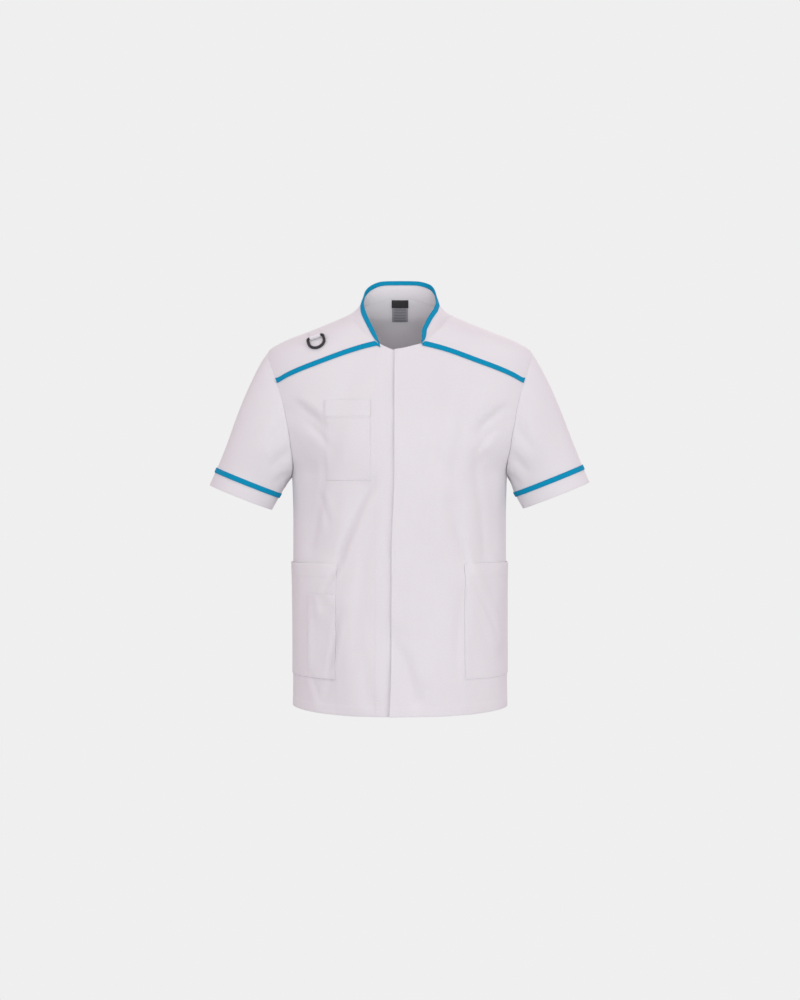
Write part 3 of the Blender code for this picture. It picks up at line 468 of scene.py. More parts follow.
def fold_height(x, height, angle):
    """How far the largest folds lift the cloth. They fade out towards the side seams and the shoulder."""
    total = np.zeros_like(x + height)
    for face, *sizes in FOLDS:
        x0, h0, x1, h1, half_width, tall = (size / 1000 for size in sizes)
        length2 = (x1 - x0) ** 2 + (h1 - h0) ** 2
        share = np.clip(((x - x0) * (x1 - x0) + (height - h0) * (h1 - h0)) / length2, 0, 1)
        away2 = (x - x0 - share * (x1 - x0)) ** 2 + (height - h0 - share * (h1 - h0)) ** 2
        total += tall * np.exp(-away2 / half_width**2) * (face * np.cos(angle) > 0)
    return total * ease(0.05, 0.4, np.abs(np.cos(angle))) * ease(0.66, 0.60, height)


def crease_profile(away, share, half_width, depth):
    """A soft trough with a low ridge on one side, which fades out at both ends."""
    trough = -depth * np.exp(-((away / half_width) ** 2))
    ridge = 0.5 * depth * np.exp(-(((away - 1.9 * half_width) / (1.3 * half_width)) ** 2))
    return (trough + ridge) * ease(-0.16, 0.28, share) * ease(1.16, 0.70, share)


def turned_from(start, angle):
    """The turn from one angle to another the shorter way round."""
    return (angle - start + math.pi) % (2 * math.pi) - math.pi


def crease_height(angle, height):
    """How far the trunk's creases lift the cloth."""
    total = np.zeros_like(angle)
    for face, *sizes in CREASES:
        x0, h0, x1, h1, bow, half_width, depth = (size / 1000 for size in sizes)
        start = float(angle_at(x0, h0, face))
        end = float(angle_at(x1, h1, face))
        du, dh = turned_from(start, end) * TRUNK_RADIUS, h1 - h0
        length = math.hypot(du, dh)
        u, h = turned_from(start, angle) * TRUNK_RADIUS, height - h0
        share = (u * du + h * dh) / length**2
        away = (u * dh - h * du) / length
        inside = np.clip(share, 0, 1)
        away = away - 4 * bow * inside * (1 - inside) * np.sign(dh)
        total += crease_profile(away, share, half_width, depth)
    return total


def random_hills(u, v, around, seed):
    """Smooth random hills and hollows between about -1 and 1, which repeat after so many cells of u."""
    lattice = np.random.default_rng(seed).uniform(-1.6, 1.6, (HILL_ROWS, around))
    column, row = np.floor(u).astype(int), np.floor(v).astype(int)
    total = np.zeros(np.broadcast(u, v).shape)
    for i, across in enumerate(spline_weights(u - column)):
        for k, down in enumerate(spline_weights(v - row)):
            total += lattice[(row + k) % HILL_ROWS, (column + i) % around] * across * down
    return total


def spline_weights(t):
    return (
        (1 - t) ** 3 / 6,
        (3 * t**3 - 6 * t**2 + 4) / 6,
        (-3 * t**3 + 3 * t**2 + 3 * t + 1) / 6,
        t**3 / 6,
    )


def uneven_height(angle, height):
    """Random lift of the cloth, longer down the body than across it, small at the shoulders and sides."""
    total = np.zeros_like(angle)
    for across, down, tall, seed in UNEVENNESS:
        around = round(2 * math.pi * TRUNK_RADIUS / across)
        u = angle / (2 * math.pi) * around
        total += tall * random_hills(u + 0.25 * np.sin(height / down * 2), height / down, around, seed)
    total = total * (0.3 + 0.7 * ease(0.0, 0.5, np.abs(np.cos(angle))))
    return total * (0.25 + 0.75 * ease(0.62, 0.50, height)) * ease(0.69, 0.655, height)


def seam_pucker(angle, height):
    """Small ripples that the thread draws up beside the side seams."""
    turned = turned_from(0.0, angle)
    seam = side_seam_angle(height)
    away = (np.abs(turned) - seam) * TRUNK_RADIUS
    ripple = random_hills(np.sign(turned) * 2 + 0 * height, height / PUCKER_PITCH, 7, 53)
    return PUCKER * ripple * np.exp(-((away / PUCKER_REACH) ** 2)) * ease(0.44, 0.40, height)


def skin(angle, height):
    """Points and outward normals of the trunk, creases and all."""
    angle, height = np.broadcast_arrays(np.asarray(angle, float), np.asarray(height, float))
    points = bare_skin(angle, height)
    normals = skin_normal(angle, height)
    lift = fold_height(points[..., 0], height, angle) + crease_height(angle, height)
    lift = lift + uneven_height(angle, height) + seam_pucker(angle, height)
    return points + normals * lift[..., None], normals


# Outlines of the panels
def filled(stops, step):
    """The stops with equal steps, no longer than step, between them."""
    values = [stops[0]]
    for low, high in zip(stops, stops[1:]):
        count = max(1, math.ceil((high - low) / step - 1e-6))
        values += [low + (high - low) * k / count for k in range(1, count + 1)]
    return np.array(values)


def groove_stops(height):
    """Rows that hold the groove under a row of stitches."""
    return (height - GROOVE_REACH, height, height + GROOVE_REACH)


def armhole_height(turn):
    """Height on the armhole, by a turn of 0 at the underarm and pi at the shoulder tip."""
    return (UNDERARM + SHOULDER_TIP) / 2 - (SHOULDER_TIP - UNDERARM) / 2 * np.cos(turn)


def armhole_turn(height):
    middle, half = (UNDERARM + SHOULDER_TIP) / 2, (SHOULDER_TIP - UNDERARM) / 2
    return math.acos(np.clip((middle - height) / half, -1, 1))


def armhole_angle(turn, face):
    reach = ARMHOLE_FRONT_REACH if face == FRONT else ARMHOLE_BACK_REACH
    return math.pi / 2 - face * math.radians(reach) * np.sin(turn)


def side_seam_angle(height):
    """Angle of the side seam in radians, on the wearer's left."""
    back = ease(UNDERARM, HIP_POCKET_MOUTH, height)
    turn = SIDE_SEAM_AT_UNDERARM + back * (SIDE_SEAM_AT_HIP - SIDE_SEAM_AT_UNDERARM)
    return np.radians(turn)


MOUTH_TURN = armhole_turn(CHEST_POCKET_MOUTH)
YOKE_TURN = armhole_turn(YOKE_END)
LOW_TURNS = np.linspace(0, MOUTH_TURN, ARMHOLE_LOW_STEPS + 1)
MID_TURNS = np.linspace(MOUTH_TURN, YOKE_TURN, ARMHOLE_MID_STEPS + 1)
SIDE_HEIGHTS = filled((HEM, *groove_stops(HEM_STITCH), UNDERARM), CLOTH_STEP)
LEVEL_HEIGHTS = np.concatenate([SIDE_HEIGHTS[:-1], armhole_height(LOW_TURNS)])


def level_edges(face):
    """Angle of the side seam, then of the armhole, on each level row on the wearer's left."""
    return np.concatenate([side_seam_angle(SIDE_HEIGHTS[:-1]), armhole_angle(LOW_TURNS, face)])


def neckline(x):
    """Height of the front neckline, which is lowest where the left front's edge crosses it."""
    low = (NECK_LOW_X - x) / (NECK_LOW_X + NECK_CORNER_X)
    high = (x - NECK_LOW_X) / (NECK_CORNER_X - NECK_LOW_X)
    share = np.clip(np.where(x < NECK_LOW_X, low, high), 0, 1)
    return NECK_LOW + (NECK_CORNER - NECK_LOW) * share**1.15


def front_columns(side, height):
    """Distances from the centre of a front's plumb columns, as the wearer's left has them."""
    start = float(smooth(LAP_EDGE, height)) if side == LEFT else -RIGHT_UNDERLAP
    lap = np.linspace(start, 0.0, 6)
    neck = np.linspace(0.0, NECK_CORNER_X, 10)
    stops = (NECK_CORNER_X, *groove_stops(PLACKET_STITCH_X), CHEST_POCKET_OUTER_X)
    return np.concatenate([lap, neck[1:], filled(stops, CLOTH_STEP)[1:]])


def front_seam_x(side):
    """Distances from the centre of the columns along a front's top edge."""
    inner = front_columns(side, NECK_LOW)
    end = bare_skin(armhole_angle(YOKE_TURN, FRONT), YOKE_END)[0]
    shares = np.linspace(0, 1, SIDE_STEPS + 1)[1:]
    return np.concatenate([inner, inner[-1] + shares * (end - inner[-1])])


def front_grid(side):
    """Angles and heights of one front, rows from the hem to the yoke seam."""
    angles, heights = [], []
    shares = np.linspace(0, 1, SIDE_STEPS + 1)[1:]
    for height, edge in zip(LEVEL_HEIGHTS, level_edges(FRONT)):
        inner = angle_at(front_columns(side, height), height, FRONT)
        angles.append(np.concatenate([inner, inner[-1] + shares * (edge - inner[-1])]))
        heights.append(np.full(len(angles[-1]), height))
    level_x = bare_skin(angles[-1], heights[-1])[:, 0]
    top_x = front_seam_x(side)
    neck = top_x < NECK_CORNER_X - 1e-6
    top = np.where(neck, neckline(side * top_x), smooth(YOKE_SEAM, top_x))
    for turn in MID_TURNS[1:]:
        rise = (armhole_height(turn) - CHEST_POCKET_MOUTH) / (YOKE_END - CHEST_POCKET_MOUTH)
        height = CHEST_POCKET_MOUTH + (top - CHEST_POCKET_MOUTH) * rise
        angle = angle_at(level_x + (top_x - level_x) * rise, height, FRONT)
        angle[-1] = armhole_angle(turn, FRONT)
        angles.append(angle)
        heights.append(height)
    return side * np.array(angles), np.array(heights)


def blended(left, right, bottom, top):
    """A grid between four edges, each a list of angles and heights: rows go from bottom to top."""
    s = np.linspace(0, 1, len(bottom))[None, :, None]
    r = np.linspace(0, 1, len(left))[:, None, None]
    across = (1 - s) * left[:, None] + s * right[:, None]
    upward = (1 - r) * bottom[None] + r * top[None]
    low, high = (1 - s) * bottom[0] + s * bottom[-1], (1 - s) * top[0] + s * top[-1]
    return across + upward - ((1 - r) * low + r * high)


def pairs(angles, heights):
    return np.stack(np.broadcast_arrays(angles, heights), axis=-1)


def neck_seam():
    """The seam between the left yoke and the collar, from the neck corner to the shoulder."""
    heights = np.linspace(NECK_CORNER, SHOULDER_NECK, YOKE_ROWS + 1)
    angles = angle_at(smooth(NECK_SEAM, heights), heights, FRONT)
    angles[-1] = math.pi / 2
    return pairs(angles, heights)


def yoke_grid(side):
    """Angles and heights of one yoke, rows from the seam over the front to the shoulder seam."""
    seam_x = front_seam_x(side)
    bottom_x = seam_x[seam_x > NECK_CORNER_X - 1e-6]
    heights = smooth(YOKE_SEAM, bottom_x)
    bottom = pairs(angle_at(bottom_x, heights, FRONT), heights)
    turns = np.linspace(YOKE_TURN, math.pi, YOKE_ROWS + 1)
    right = pairs(armhole_angle(turns, FRONT), armhole_height(turns))
    bottom[-1] = right[0]
    top = pairs(math.pi / 2, np.linspace(SHOULDER_NECK, SHOULDER_TIP, len(bottom)))
    grid = blended(neck_seam(), right, bottom, top)
    return side * grid[..., 0], grid[..., 1]


def back_neck_seam():
    """The seam between the back and the collar, from the centre back to the left shoulder."""
    turn = np.linspace(0, math.pi / 2, BACK_NECK_STEPS + 1)
    rise = np.clip(np.cos(turn), 0, 1) ** BACK_NECK_CURVE
    heights = SHOULDER_NECK + (BACK_NECK - SHOULDER_NECK) * rise
    return pairs(math.pi - turn, heights)


def back_grid():
    """Angles and heights of the back from the wearer's right to the left, rows from the hem up."""
    shoulder = np.linspace(SHOULDER_NECK, SHOULDER_TIP, SHOULDER_STEPS + 1)[1:]
    top = np.concatenate([back_neck_seam(), pairs(math.pi / 2, shoulder)])
    shares = np.linspace(0, 1, len(top))
    edges = level_edges(BACK)
    level = math.pi + shares[None, :] * (edges[:, None] - math.pi)
    turns = np.linspace(MOUTH_TURN, math.pi, BACK_TOP_ROWS + 1)
    centre = pairs(math.pi, np.linspace(CHEST_POCKET_MOUTH, BACK_NECK, len(turns)))
    side = pairs(armhole_angle(turns, BACK), armhole_height(turns))
    high = blended(centre, side, pairs(level[-1], CHEST_POCKET_MOUTH), top)[1:]
    levels = np.repeat(LEVEL_HEIGHTS[:, None], len(top), axis=1)
    angles = np.concatenate([level, high[..., 0]])
    heights = np.concatenate([levels, high[..., 1]])
    right = 2 * math.pi - angles[:, :0:-1]
    return (
        np.concatenate([right, angles], axis=1),
        np.concatenate([heights[:, :0:-1], heights], axis=1),
    )


# Cloth as closed shells
def weave_lengths(points):
    """How far each point lies along its row and its column, which places the weave."""
    across = np.linalg.norm(np.diff(points, axis=1), axis=-1)
    down = np.linalg.norm(np.diff(points, axis=0), axis=-1)
    u = np.pad(np.cumsum(across, axis=1), ((0, 0), (1, 0)))
    v = np.pad(np.cumsum(down, axis=0), ((1, 0), (0, 0)))
    return np.stack([u - u[:, u.shape[1] // 2, None], v], axis=-1)


def with_weave(points, normals):
    """A grid with eight numbers a point: its place, outward normal and place in the weave."""
    return np.concatenate([points, normals, weave_lengths(points)], axis=-1)


def on_trunk(angles, heights, lift=0.0):
    points, normals = skin(angles, heights)
    lift = np.broadcast_to(lift, points.shape[:2])[..., None]
    return with_weave(points + normals * lift, normals)


def edge_loops(grid, kind):
    """The grid with loops close to its first row, and each row's distance from the edge and dip."""
    loops, overlap, dip, dent = EDGES[kind]
    distance = np.array([0.0, *loops])
    span = np.linalg.norm(grid[1, :, :3] - grid[0, :, :3], axis=-1)[:, None]
    near = [grid[0] + (grid[1] - grid[0]) * ((away - overlap) / span) for away in distance]
    relief = dip * (1 - ease(0, SEAM_ROUNDING, distance))
    relief += dent * np.exp(-(((distance - EDGE_STITCH) / EDGE_DENT_HALF_WIDTH) ** 2))
    far = len(grid) - 1
    return (
        np.concatenate([near, grid[1:]]),
        np.concatenate([distance, np.full(far, 1.0)]),
        np.concatenate([relief, np.zeros(far)]),
    )


def both_edges(grid, kinds):
    """edge_loops at the first and the last row."""
    grid, low, low_relief = edge_loops(grid, kinds[0])
    grid, high, high_relief = edge_loops(grid[::-1], kinds[1])
    grow = len(high) - len(low)
    low = np.pad(low, (0, grow), constant_values=1.0)
    low_relief = np.pad(low_relief, (0, grow))
    return grid[::-1], np.minimum(low, high[::-1]), np.maximum(low_relief, high_relief[::-1])


def cloth_mesh(name, grid, edges, wall=WALL, ring=False):
    """A closed shell under a grid, with rounded edges. A ring's rows close on themselves."""
    grid, rows_away, row_relief = both_edges(grid, edges[:2])
    columns = grid.shape[1]
    columns_away, column_relief = np.full(columns, 1.0), np.zeros(columns)
    if not ring:
        turned, columns_away, column_relief = both_edges(grid.swapaxes(0, 1), edges[2:])
        grid = turned.swapaxes(0, 1)
    away = np.minimum(rows_away[:, None], columns_away[None, :])
    relief = np.maximum(row_relief[:, None], column_relief[None, :])
    half = wall / 2
    rounding = half * (1 - np.sqrt(1 - (1 - np.clip(away / half, 0, 1)) ** 2))
    normals = unit(grid[..., 3:6])
    outer = grid[..., :3] - normals * (rounding + relief * (away > 0))[..., None]
    inner = grid[..., :3] - normals * (wall - rounding)[..., None]
    return shell_mesh(name, outer, inner, grid[..., 6:8], away > 0, normals, ring)


def shell_mesh(name, outer, inner, weave, free, normals, ring):
    """Joins the outer and the inner grid, which share the points of the edges."""
    rows, columns = outer.shape[:2]
    outside = np.arange(rows * columns).reshape(rows, columns)
    inside = outside.copy()
    inside[free] = rows * columns + np.arange(free.sum())
    points = np.concatenate([outer.reshape(-1, 3), inner[free]])
    if ring:
        outside = np.concatenate([outside, outside[:, :1]], axis=1)
        inside = np.concatenate([inside, inside[:, :1]], axis=1)
        closing = np.linalg.norm(outer[:, 0] - outer[:, -1], axis=-1)
        last = weave[:, -1:] + np.stack([closing, 0 * closing], axis=-1)[:, None]
        weave = np.concatenate([weave, last], axis=1)
    middle = (rows // 2, columns // 2)
    across = outer[middle[0], middle[1] + 1] - outer[middle]
    upward = outer[middle[0] + 1, middle[1]] - outer[middle]
    facing_out = np.dot(np.cross(across, upward), normals[middle]) > 0
    turns = (1, -1) if facing_out else (-1, 1)
    faces = [corners_of(layer)[:, ::turn] for layer, turn in zip((outside, inside), turns)]
    places = [corners_of(weave)[:, ::turn] for turn in turns]
    mesh = bpy.data.meshes.new(name)
    mesh.from_pydata(points.tolist(), [], np.concatenate(faces).tolist())
    layer = mesh.uv_layers.new(name="weave")
    layer.data.foreach_set("uv", np.concatenate(places).astype(np.float32).ravel())
    mesh.shade_smooth()
    return mesh


def corners_of(layer):
    """The four corners of each cell of a grid."""
    cells = [layer[:-1, :-1], layer[:-1, 1:], layer[1:, 1:], layer[1:, :-1]]
    stacked = np.stack(cells, axis=2)
    return stacked.reshape(-1, 4, *layer.shape[2:])


# Rows of stitches
white_rows = []
blue_rows = []


def edge_row(grid, side, distance, lift=0.0):
    """A line on the grid at a distance inside one of its edges."""
    turned = {
        "bottom": grid,
        "top": grid[::-1],
        "left": grid.swapaxes(0, 1),
        "right": grid[:, ::-1].swapaxes(0, 1),
    }[side]
    span = np.linalg.norm(turned[1, :, :3] - turned[0, :, :3], axis=-1)[:, None]
    line = turned[0] + (turned[1] - turned[0]) * (distance / span)
    return line[:, :3] + line[:, 3:6] * lift


def row_on(grid, row, lift=0.0):
    return grid[row, :, :3] + grid[row, :, 3:6] * lift


def groove(distance, depth):
    """Dent that a row of stitches makes, by the distance from it."""
    return -depth * np.exp(-((distance / GROOVE_HALF_WIDTH) ** 2))


def hem_relief(heights):
    """The turned-up hem stands a little proud, and its stitches draw it in."""
    step = HEM_STEP * ease(HEM_STITCH + GROOVE_REACH, HEM_STITCH, heights)
    return step + groove(heights - HEM_STITCH, HEM_DENT)


def level_row(height):
    return int(np.argmin(np.abs(LEVEL_HEIGHTS - height)))


# Materials
def linear(code):
    """sRGB hex to linear red, green, blue and alpha."""
    values = [int(code[k : k + 2], 16) / 255 for k in (1, 3, 5)]
    return (*(v / 12.92 if v <= 0.04045 else ((v + 0.055) / 1.055) ** 2.4 for v in values), 1.0)


def set_inputs(tree, node, inputs):
    """Sets a node's inputs to values, or joins them to outputs, or to a node's first output in use."""
    for name, value in inputs.items():
        if isinstance(value, bpy.types.Node):
            value = next(output for output in value.outputs if output.enabled)
        if isinstance(value, bpy.types.NodeSocket):
            tree.links.new(value, node.inputs[name])
        else:
            node.inputs[name].default_value = value


def add_node(tree, kind, inputs=None, **settings):
    """A node with its settings and its inputs."""
    node = tree.nodes.new(kind)
    for name, value in settings.items():
        setattr(node, name, value)
    set_inputs(tree, node, inputs or {})
    return node


def new_material(name):
    material = bpy.data.materials.new(name)
    material.use_nodes = True
    return material, material.node_tree


def finished(material, look, *bumps):
    """Gives a material its look and its bumps, one on another: height, strength and distance of each."""
    tree = material.node_tree
    under = {}
    for height, strength, distance in bumps:
        bump = {"Height": height, "Strength": strength, "Distance": distance, **under}
        under = {"Normal": add_node(tree, "ShaderNodeBump", bump)}
    set_inputs(tree, tree.nodes["Principled BSDF"], {**look, **under})
    return material


def cotton_twill():
    """Poly-cotton twill, woven, bleached and pressed: matt, soft at the edges, with a faint diagonal
    rib. The rib is really 0.5 mm apart and is drawn 1.3 mm apart so that it shows."""
    material, tree = new_material("poly_cotton_twill")
    weave = add_node(tree, "ShaderNodeUVMap", uv_map="weave")
    place = add_node(tree, "ShaderNodeTexCoord").outputs["Object"]
    lines = {"Vector": weave, "Scale": 340.0, "Distortion": 1.2, "Detail": 1.0, "Detail Scale": 2.0}
    rib = add_node(tree, "ShaderNodeTexWave", lines, wave_type="BANDS", bands_direction="DIAGONAL")
    slub = add_node(tree, "ShaderNodeTexNoise", {"Vector": weave, "Scale": 420.0, "Detail": 2.0})
    soft = {"Vector": place, "Scale": 26.0, "Detail": 3.0, "Roughness": 0.45}
    crumple = add_node(tree, "ShaderNodeTexNoise", soft)
    tone = add_node(tree, "ShaderNodeTexNoise", {"Vector": place, "Scale": 7.0, "Detail": 2.0})
    tones = {"Factor": tone, "A": linear("#E9E8EB"), "B": linear("#EFEFF0")}
    body = add_node(tree, "ShaderNodeMix", tones, data_type="RGBA")
    slubs = {"Value": slub, "From Min": 0.3, "From Max": 0.7, "To Min": 0.0, "To Max": 0.10}
    thread = add_node(tree, "ShaderNodeMapRange", slubs)
    threads = {"Factor": thread, "A": body, "B": linear("#C9C2CC")}
    colour = add_node(tree, "ShaderNodeMix", threads, data_type="RGBA")
    look = {
        "Base Color": colour,
        "Roughness": 0.86,
        "Specular IOR Level": 0.25,
        "Sheen Weight": 0.18,
        "Sheen Roughness": 0.45,
    }
    bumps = ((crumple, 0.5, 0.0012), (rib.outputs["Fac"], 0.35, 0.00010), (slub, 0.3, 0.00012))
    return finished(material, look, *bumps)


def woven_trim():
    """Polyester trim tape, woven and dyed turquoise: fine ribs across it and a soft shine. The ribs
    are really 0.4 mm apart and are drawn 0.9 mm apart so that they show."""
    material, tree = new_material("turquoise_trim_tape")
    weave = add_node(tree, "ShaderNodeUVMap", uv_map="weave")
    lines = {"Vector": weave, "Scale": 350.0, "Distortion": 0.6, "Detail": 1.0}
    rib = add_node(tree, "ShaderNodeTexWave", lines, wave_type="BANDS", bands_direction="X")
    fleck = add_node(tree, "ShaderNodeTexNoise", {"Vector": weave, "Scale": 500.0, "Detail": 2.0})
    tones = {"Factor": fleck, "A": linear("#0088B4"), "B": linear("#00A4CC")}
    colour = add_node(tree, "ShaderNodeMix", tones, data_type="RGBA")
    look = {"Base Color": colour, "Roughness": 0.8, "Specular IOR Level": 0.15}
    return finished(material, look, (rib.outputs["Fac"], 0.6, 0.00015))


def label_tape(name, base, fleck_tone, printed):
    """Woven label tape: satin ground with fine cross ribs, and plain bars where it is printed."""
    material, tree = new_material(name)
    weave = add_node(tree, "ShaderNodeUVMap", uv_map="weave")
    lines = {"Vector": weave, "Scale": 520.0, "Distortion": 0.4}
    rib = add_node(tree, "ShaderNodeTexWave", lines, wave_type="BANDS", bands_direction="Y")
    fleck = add_node(tree, "ShaderNodeTexNoise", {"Vector": weave, "Scale": 700.0, "Detail": 1.0})
    tones = {"Factor": fleck, "A": linear(base), "B": linear(fleck_tone)}
    colour = add_node(tree, "ShaderNodeMix", tones, data_type="RGBA")
    if printed:
        colour = printed_bars(tree, weave, colour)
    look = {"Base Color": colour, "Roughness": 0.55}
    return finished(material, look, (rib.outputs["Fac"], 0.5, 0.00010))


def printed_bars(tree, weave, ground):
    """Plain printed bars where such a label has its washing advice."""
    along = add_node(tree, "ShaderNodeSeparateXYZ", {"Vector": weave}).outputs
    per_metre = 2 * math.pi / PRINT_PITCH
    turn = add_node(tree, "ShaderNodeMath", {0: along["Y"], 1: per_metre}, operation="MULTIPLY")
    wave = add_node(tree, "ShaderNodeMath", {0: turn}, operation="SINE")
    inked = add_node(tree, "ShaderNodeMath", {0: wave, 1: 0.55}, operation="GREATER_THAN")
    reach = add_node(tree, "ShaderNodeMath", {0: along["X"]}, operation="ABSOLUTE")
    inside = add_node(tree, "ShaderNodeMath", {0: reach, 1: PRINT_HALF_WIDTH}, operation="LESS_THAN")
    ink = add_node(tree, "ShaderNodeMath", {0: inked, 1: inside}, operation="MULTIPLY")
    tones = {"Factor": ink, "A": ground, "B": linear("#55565C")}
    return add_node(tree, "ShaderNodeMix", tones, data_type="RGBA")


def sewing_thread(name, base):
    """Spun polyester thread: matt, with a slight twist that breaks up its light."""
    material, tree = new_material(name)
    place = add_node(tree, "ShaderNodeTexCoord").outputs["Object"]
    twist = add_node(tree, "ShaderNodeTexNoise", {"Vector": place, "Scale": 2500.0, "Detail": 1.0})
    look = {"Base Color": linear(base), "Roughness": 0.7, "Sheen Weight": 0.1}
    return finished(material, look, (twist, 0.4, 0.00006))


def moulded_nylon():
    """Black nylon, injection moulded: a low even shine over a very fine grained skin."""
    material, tree = new_material("moulded_black_nylon")
    place = add_node(tree, "ShaderNodeTexCoord").outputs["Object"]
    grain = add_node(tree, "ShaderNodeTexNoise", {"Vector": place, "Scale": 1800.0, "Detail": 2.0})
    rough = add_node(tree, "ShaderNodeMapRange", {"Value": grain, "To Min": 0.34, "To Max": 0.52})
    tones = {"Factor": grain, "A": linear("#1D1C20"), "B": linear("#2A282D")}
    colour = add_node(tree, "ShaderNodeMix", tones, data_type="RGBA")
    look = {"Base Color": colour, "Roughness": rough, "IOR": 1.53}
    return finished(material, look, (grain, 0.25, 0.00005))


twill = cotton_twill()
trim_tape = woven_trim()
black_label = label_tape("black_woven_label", "#131216", "#211F25", False)
grey_label = label_tape("grey_printed_label", "#8E8F96", "#A2A3A9", True)
white_thread = sewing_thread("white_thread", "#EFEDF1")
blue_thread = sewing_thread("turquoise_thread", "#0F86B4")
nylon = moulded_nylon()


# Pieces in the scene
def in_scene(name, data):
    made = bpy.data.objects.new(name, data)
    bpy.context.scene.collection.objects.link(made)
    return made


def worn(mesh, finish, node, body="tunic"):
    """A finished piece that rides on a body in place of its CAD solid."""
    mesh.materials.append(finish)
    made = in_scene(mesh.name, mesh)
    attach(made, body)
    if node:
        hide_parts(node)
    return made


def cloth_piece(node, grid, edges, finish=twill, **shell):
    """A piece of cloth or tape on a grid, in place of its CAD solid."""
    kind = "cloth" if finish == twill else "tape"
    return worn(cloth_mesh(f"{node}_{kind}", grid, edges, **shell), finish, node)


# Fronts and back
def stud_rise(x, heights):
    """Small domes where the hidden press studs lie under the left front."""
    total = np.zeros_like(x)
    for stud in STUD_HEIGHTS:
        away2 = (x - STUD_X) ** 2 + (heights - stud) ** 2
        total += STUD_RISE * np.exp(-away2 / STUD_RADIUS**2)
    return total


def free_edge_lift(x, heights):
    """The left front's free edge stands off the right front, most midway between two studs."""
    between = np.sin(math.pi * (heights - STUD_HEIGHTS[0]) / STUD_PITCH) ** 2
    near = ease(FREE_EDGE_REACH, 0.0, x - smooth(LAP_EDGE, heights))
    flare = FREE_EDGE_FLARE * ease(0.10, 0.0, heights)
    return near * (FREE_EDGE_STAND + FREE_EDGE_WAVE * between + flare)


def placket_relief(x):
    """The right front's facing shows as a faint step with a row of stitches."""
    step = PLACKET_STEP * ease(PLACKET_STITCH_X + GROOVE_REACH, PLACKET_STITCH_X, x)
    return groove(x - PLACKET_STITCH_X, STITCH_DENT) + step


def make_front(side, name):
    angles, heights = front_grid(side)
    from_centre = side * bare_skin(angles, heights)[..., 0]
    lift = hem_relief(heights)
    if side == LEFT:
        lift = lift + stud_rise(from_centre, heights) + free_edge_lift(from_centre, heights)
    else:
        under = ease(LAP_OUTER_X, LAP_INNER_X, from_centre)
        lift = lift + placket_relief(from_centre) - LAP_STEP * under
    grid = on_trunk(angles, heights, lift)
    white_rows.append(row_on(grid, level_row(HEM_STITCH), STITCH_SINK))
    if side == RIGHT:
        column = int(np.argmin(np.abs(front_columns(side, HEM) - PLACKET_STITCH_X)))
        white_rows.append(row_on(grid.swapaxes(0, 1), column, STITCH_SINK))
    return cloth_piece(f"front_{name}", grid, ("fold", "seam", "fold", "seam"))


def make_back():
    angles, heights = back_grid()
    grid = on_trunk(angles, heights, hem_relief(heights))
    white_rows.append(row_on(grid, level_row(HEM_STITCH), STITCH_SINK))
    return cloth_piece("back", grid, ("fold", "seam", "seam", "seam"))


def make_yoke(side, name):
    return cloth_piece(f"yoke_{name}", on_trunk(*yoke_grid(side)), ("seam",) * 4)


# Pockets
def pocket_stand(up, columns, tall):
    """A pocket stands off most at the middle of its mouth."""
    across = np.sin(np.linspace(0, math.pi, columns)) ** POCKET_ROUNDING
    return LIFT + tall * up[:, None] ** 3 * across[None, :]


def pocket_rows(bottom, mouth, hem, step=CLOTH_STEP, proud=MOUTH_PROUD):
    """A pocket's rows, their share of the way up, and how far its turned-down mouth stands proud."""
    row = mouth - hem
    rows = filled((bottom, *groove_stops(row), mouth), step)
    relief = groove(rows - row, STITCH_DENT) + proud * ease(row - GROOVE_REACH, row, rows)
    return rows, (rows - bottom) / (mouth - bottom), relief[:, None]


def pocket_angles(inner, outer, shares):
    """Angles at each share of the way from a pocket's inner to its outer edge, row by row."""
    return inner[:, None] + shares[None, :] * (outer - inner)[:, None]


def sewn_pocket(node, angles, rows, lift, hem, sides=("left", "right"), wall=WALL):
    """A pocket sewn down along its bottom and the named sides, and across its turned-down mouth."""
    grid = on_trunk(angles, rows[:, None], lift)
    for side in ("bottom", *sides):
        white_rows.append(edge_row(grid, side, EDGE_STITCH, STITCH_SINK))
    white_rows.append(row_on(grid, int(np.argmin(np.abs(rows - rows[-1] + hem))), STITCH_SINK))
    kinds = ["stitched" if side in sides else "seam" for side in ("left", "right")]
    return cloth_piece(node, grid, ("stitched", "fold", *kinds), wall=wall)


def make_hip_pocket(side, name):
    """A pocket from its inner edge to the side seam, which holds its outer edge."""
    rows, up, relief = pocket_rows(HIP_POCKET_BOTTOM, HIP_POCKET_MOUTH, HIP_MOUTH_HEM)
    shares = np.linspace(0, 1, HIP_POCKET_COLUMNS)
    inner = angle_at(HIP_POCKET_INNER_X, rows, FRONT)
    angles = side * pocket_angles(inner, side_seam_angle(rows), shares)
    lift = WALL + pocket_stand(up, len(shares), HIP_BULGE) + relief
    return sewn_pocket(f"pocket_hip_{name}", angles, rows, lift, HIP_MOUTH_HEM, sides=("left",))


